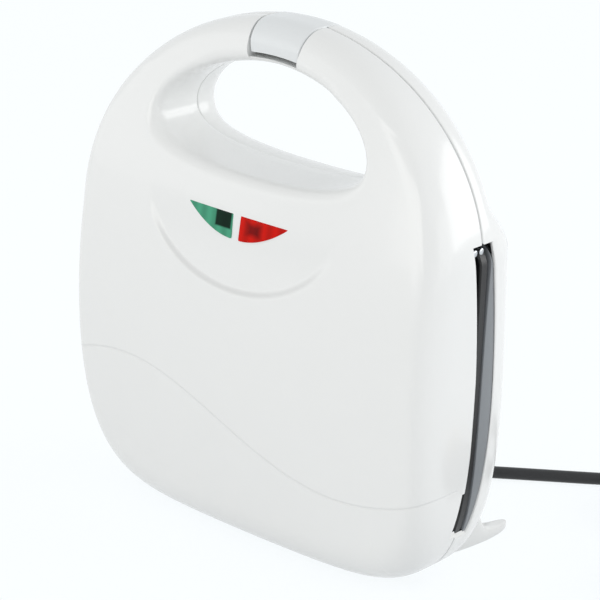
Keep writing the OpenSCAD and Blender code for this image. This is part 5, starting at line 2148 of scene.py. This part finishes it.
@dataclass(frozen=True)
class Studio:
    """White sweep, sky and lamps."""

    backdrop: str = "#f9fdff"
    sky: str = "#f4f5f6"
    sky_strength: float = 0.75
    paint: str = "#dfe1e3"
    shadow: str = "#555555"
    see_through: float = 0.94
    floor_half: float = 6.0
    lamps: Tuple[SoftBox, ...] = (
        SoftBox("left_box", (-1.5, -1.0, 0.6), (1.4, 1.2), 2.8),
        SoftBox("front_box", (0.0, -2.0, 0.6), (1.8, 1.2), 12.5, "#fffdf9"),
        SoftBox("right_box", (1.9, 0.1, 0.4), (1.2, 1.2), 3.5),
        SoftBox("rear_box", (1.3, 1.1, 0.7), (1.3, 1.2), 12.5),
    )

    def by_ray(self, graph: Graph, kind: str, lit: Socket, seen: Socket) -> None:
        """Lead two shaders to the output.

        Args:
            graph: tree to build in.
            kind: "OutputWorld" or "OutputMaterial".
            lit: shader that lights the toaster.
            seen: shader for camera, glossy and transmission rays, which show the backdrop.
        """
        rays = graph.add("LightPath").outputs
        shiny = graph.calc("MAXIMUM", rays["Is Glossy Ray"], rays["Is Transmission Ray"])
        factor = graph.calc("MAXIMUM", rays["Is Camera Ray"], shiny)
        mix = graph.add("MixShader", {}, {0: factor, 1: lit, 2: seen})
        graph.add(kind, {}, {"Surface": mix.outputs[0]})

    def world(self) -> None:
        """Sky: the backdrop's colour where it is seen, softer light on the toaster."""
        world = bpy.data.worlds.new("studio")
        bpy.context.scene.world = world
        graph = Graph(world)
        seen, lit = (graph.add("Background", {"Color": linear(colour), "Strength": strength}).outputs[0]
                     for colour, strength in ((self.backdrop, 1.0), (self.sky, self.sky_strength)))
        self.by_ray(graph, "OutputWorld", lit, seen)

    def floor(self) -> None:
        """White floor: the backdrop is seen through it, with the toaster's soft shadow."""
        mesh = bpy.data.meshes.new("floor")
        s = self.floor_half
        mesh.from_pydata([(-s, -s, 0), (s, -s, 0), (s, s, 0), (-s, s, 0)], [], [(0, 1, 2, 3)])
        mat = bpy.data.materials.new("floor_white")
        graph = Graph(mat)
        paint, shadow = (graph.add("BsdfDiffuse", {"Color": linear(colour)}).outputs[0]
                         for colour in (self.paint, self.shadow))
        clear = graph.add("BsdfTransparent", {"Color": (*[self.see_through] * 3, 1.0)})
        both = graph.add("AddShader", {}, {0: clear.outputs[0], 1: shadow})
        self.by_ray(graph, "OutputMaterial", paint, both.outputs[0])
        mesh.materials.append(mat)
        obj = bpy.data.objects.new("floor", mesh)
        bpy.context.scene.collection.objects.link(obj)

    def build(self) -> None:
        """Set up world, floor, lamps and colour handling."""
        self.world()
        self.floor()
        for lamp in self.lamps:
            lamp.build()
        bpy.context.scene.view_settings.view_transform = "Standard"


def main() -> None:
    """Build the toaster, the lead and the studio."""
    logging.basicConfig(level=logging.INFO, format="%(name)s: %(message)s")
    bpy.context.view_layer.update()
    Camera().build()
    MainsLead().build()
    shells = Shells()
    shells.build()
    Latch().build(shells)
    IndicatorLights().build(shells.lid)
    PlatePack().build(shells)
    parts = SmallParts()
    parts.rubber_feet()
    parts.hinge()
    parts.inside()
    Studio().build()


if __name__ == "__main__":
    main()
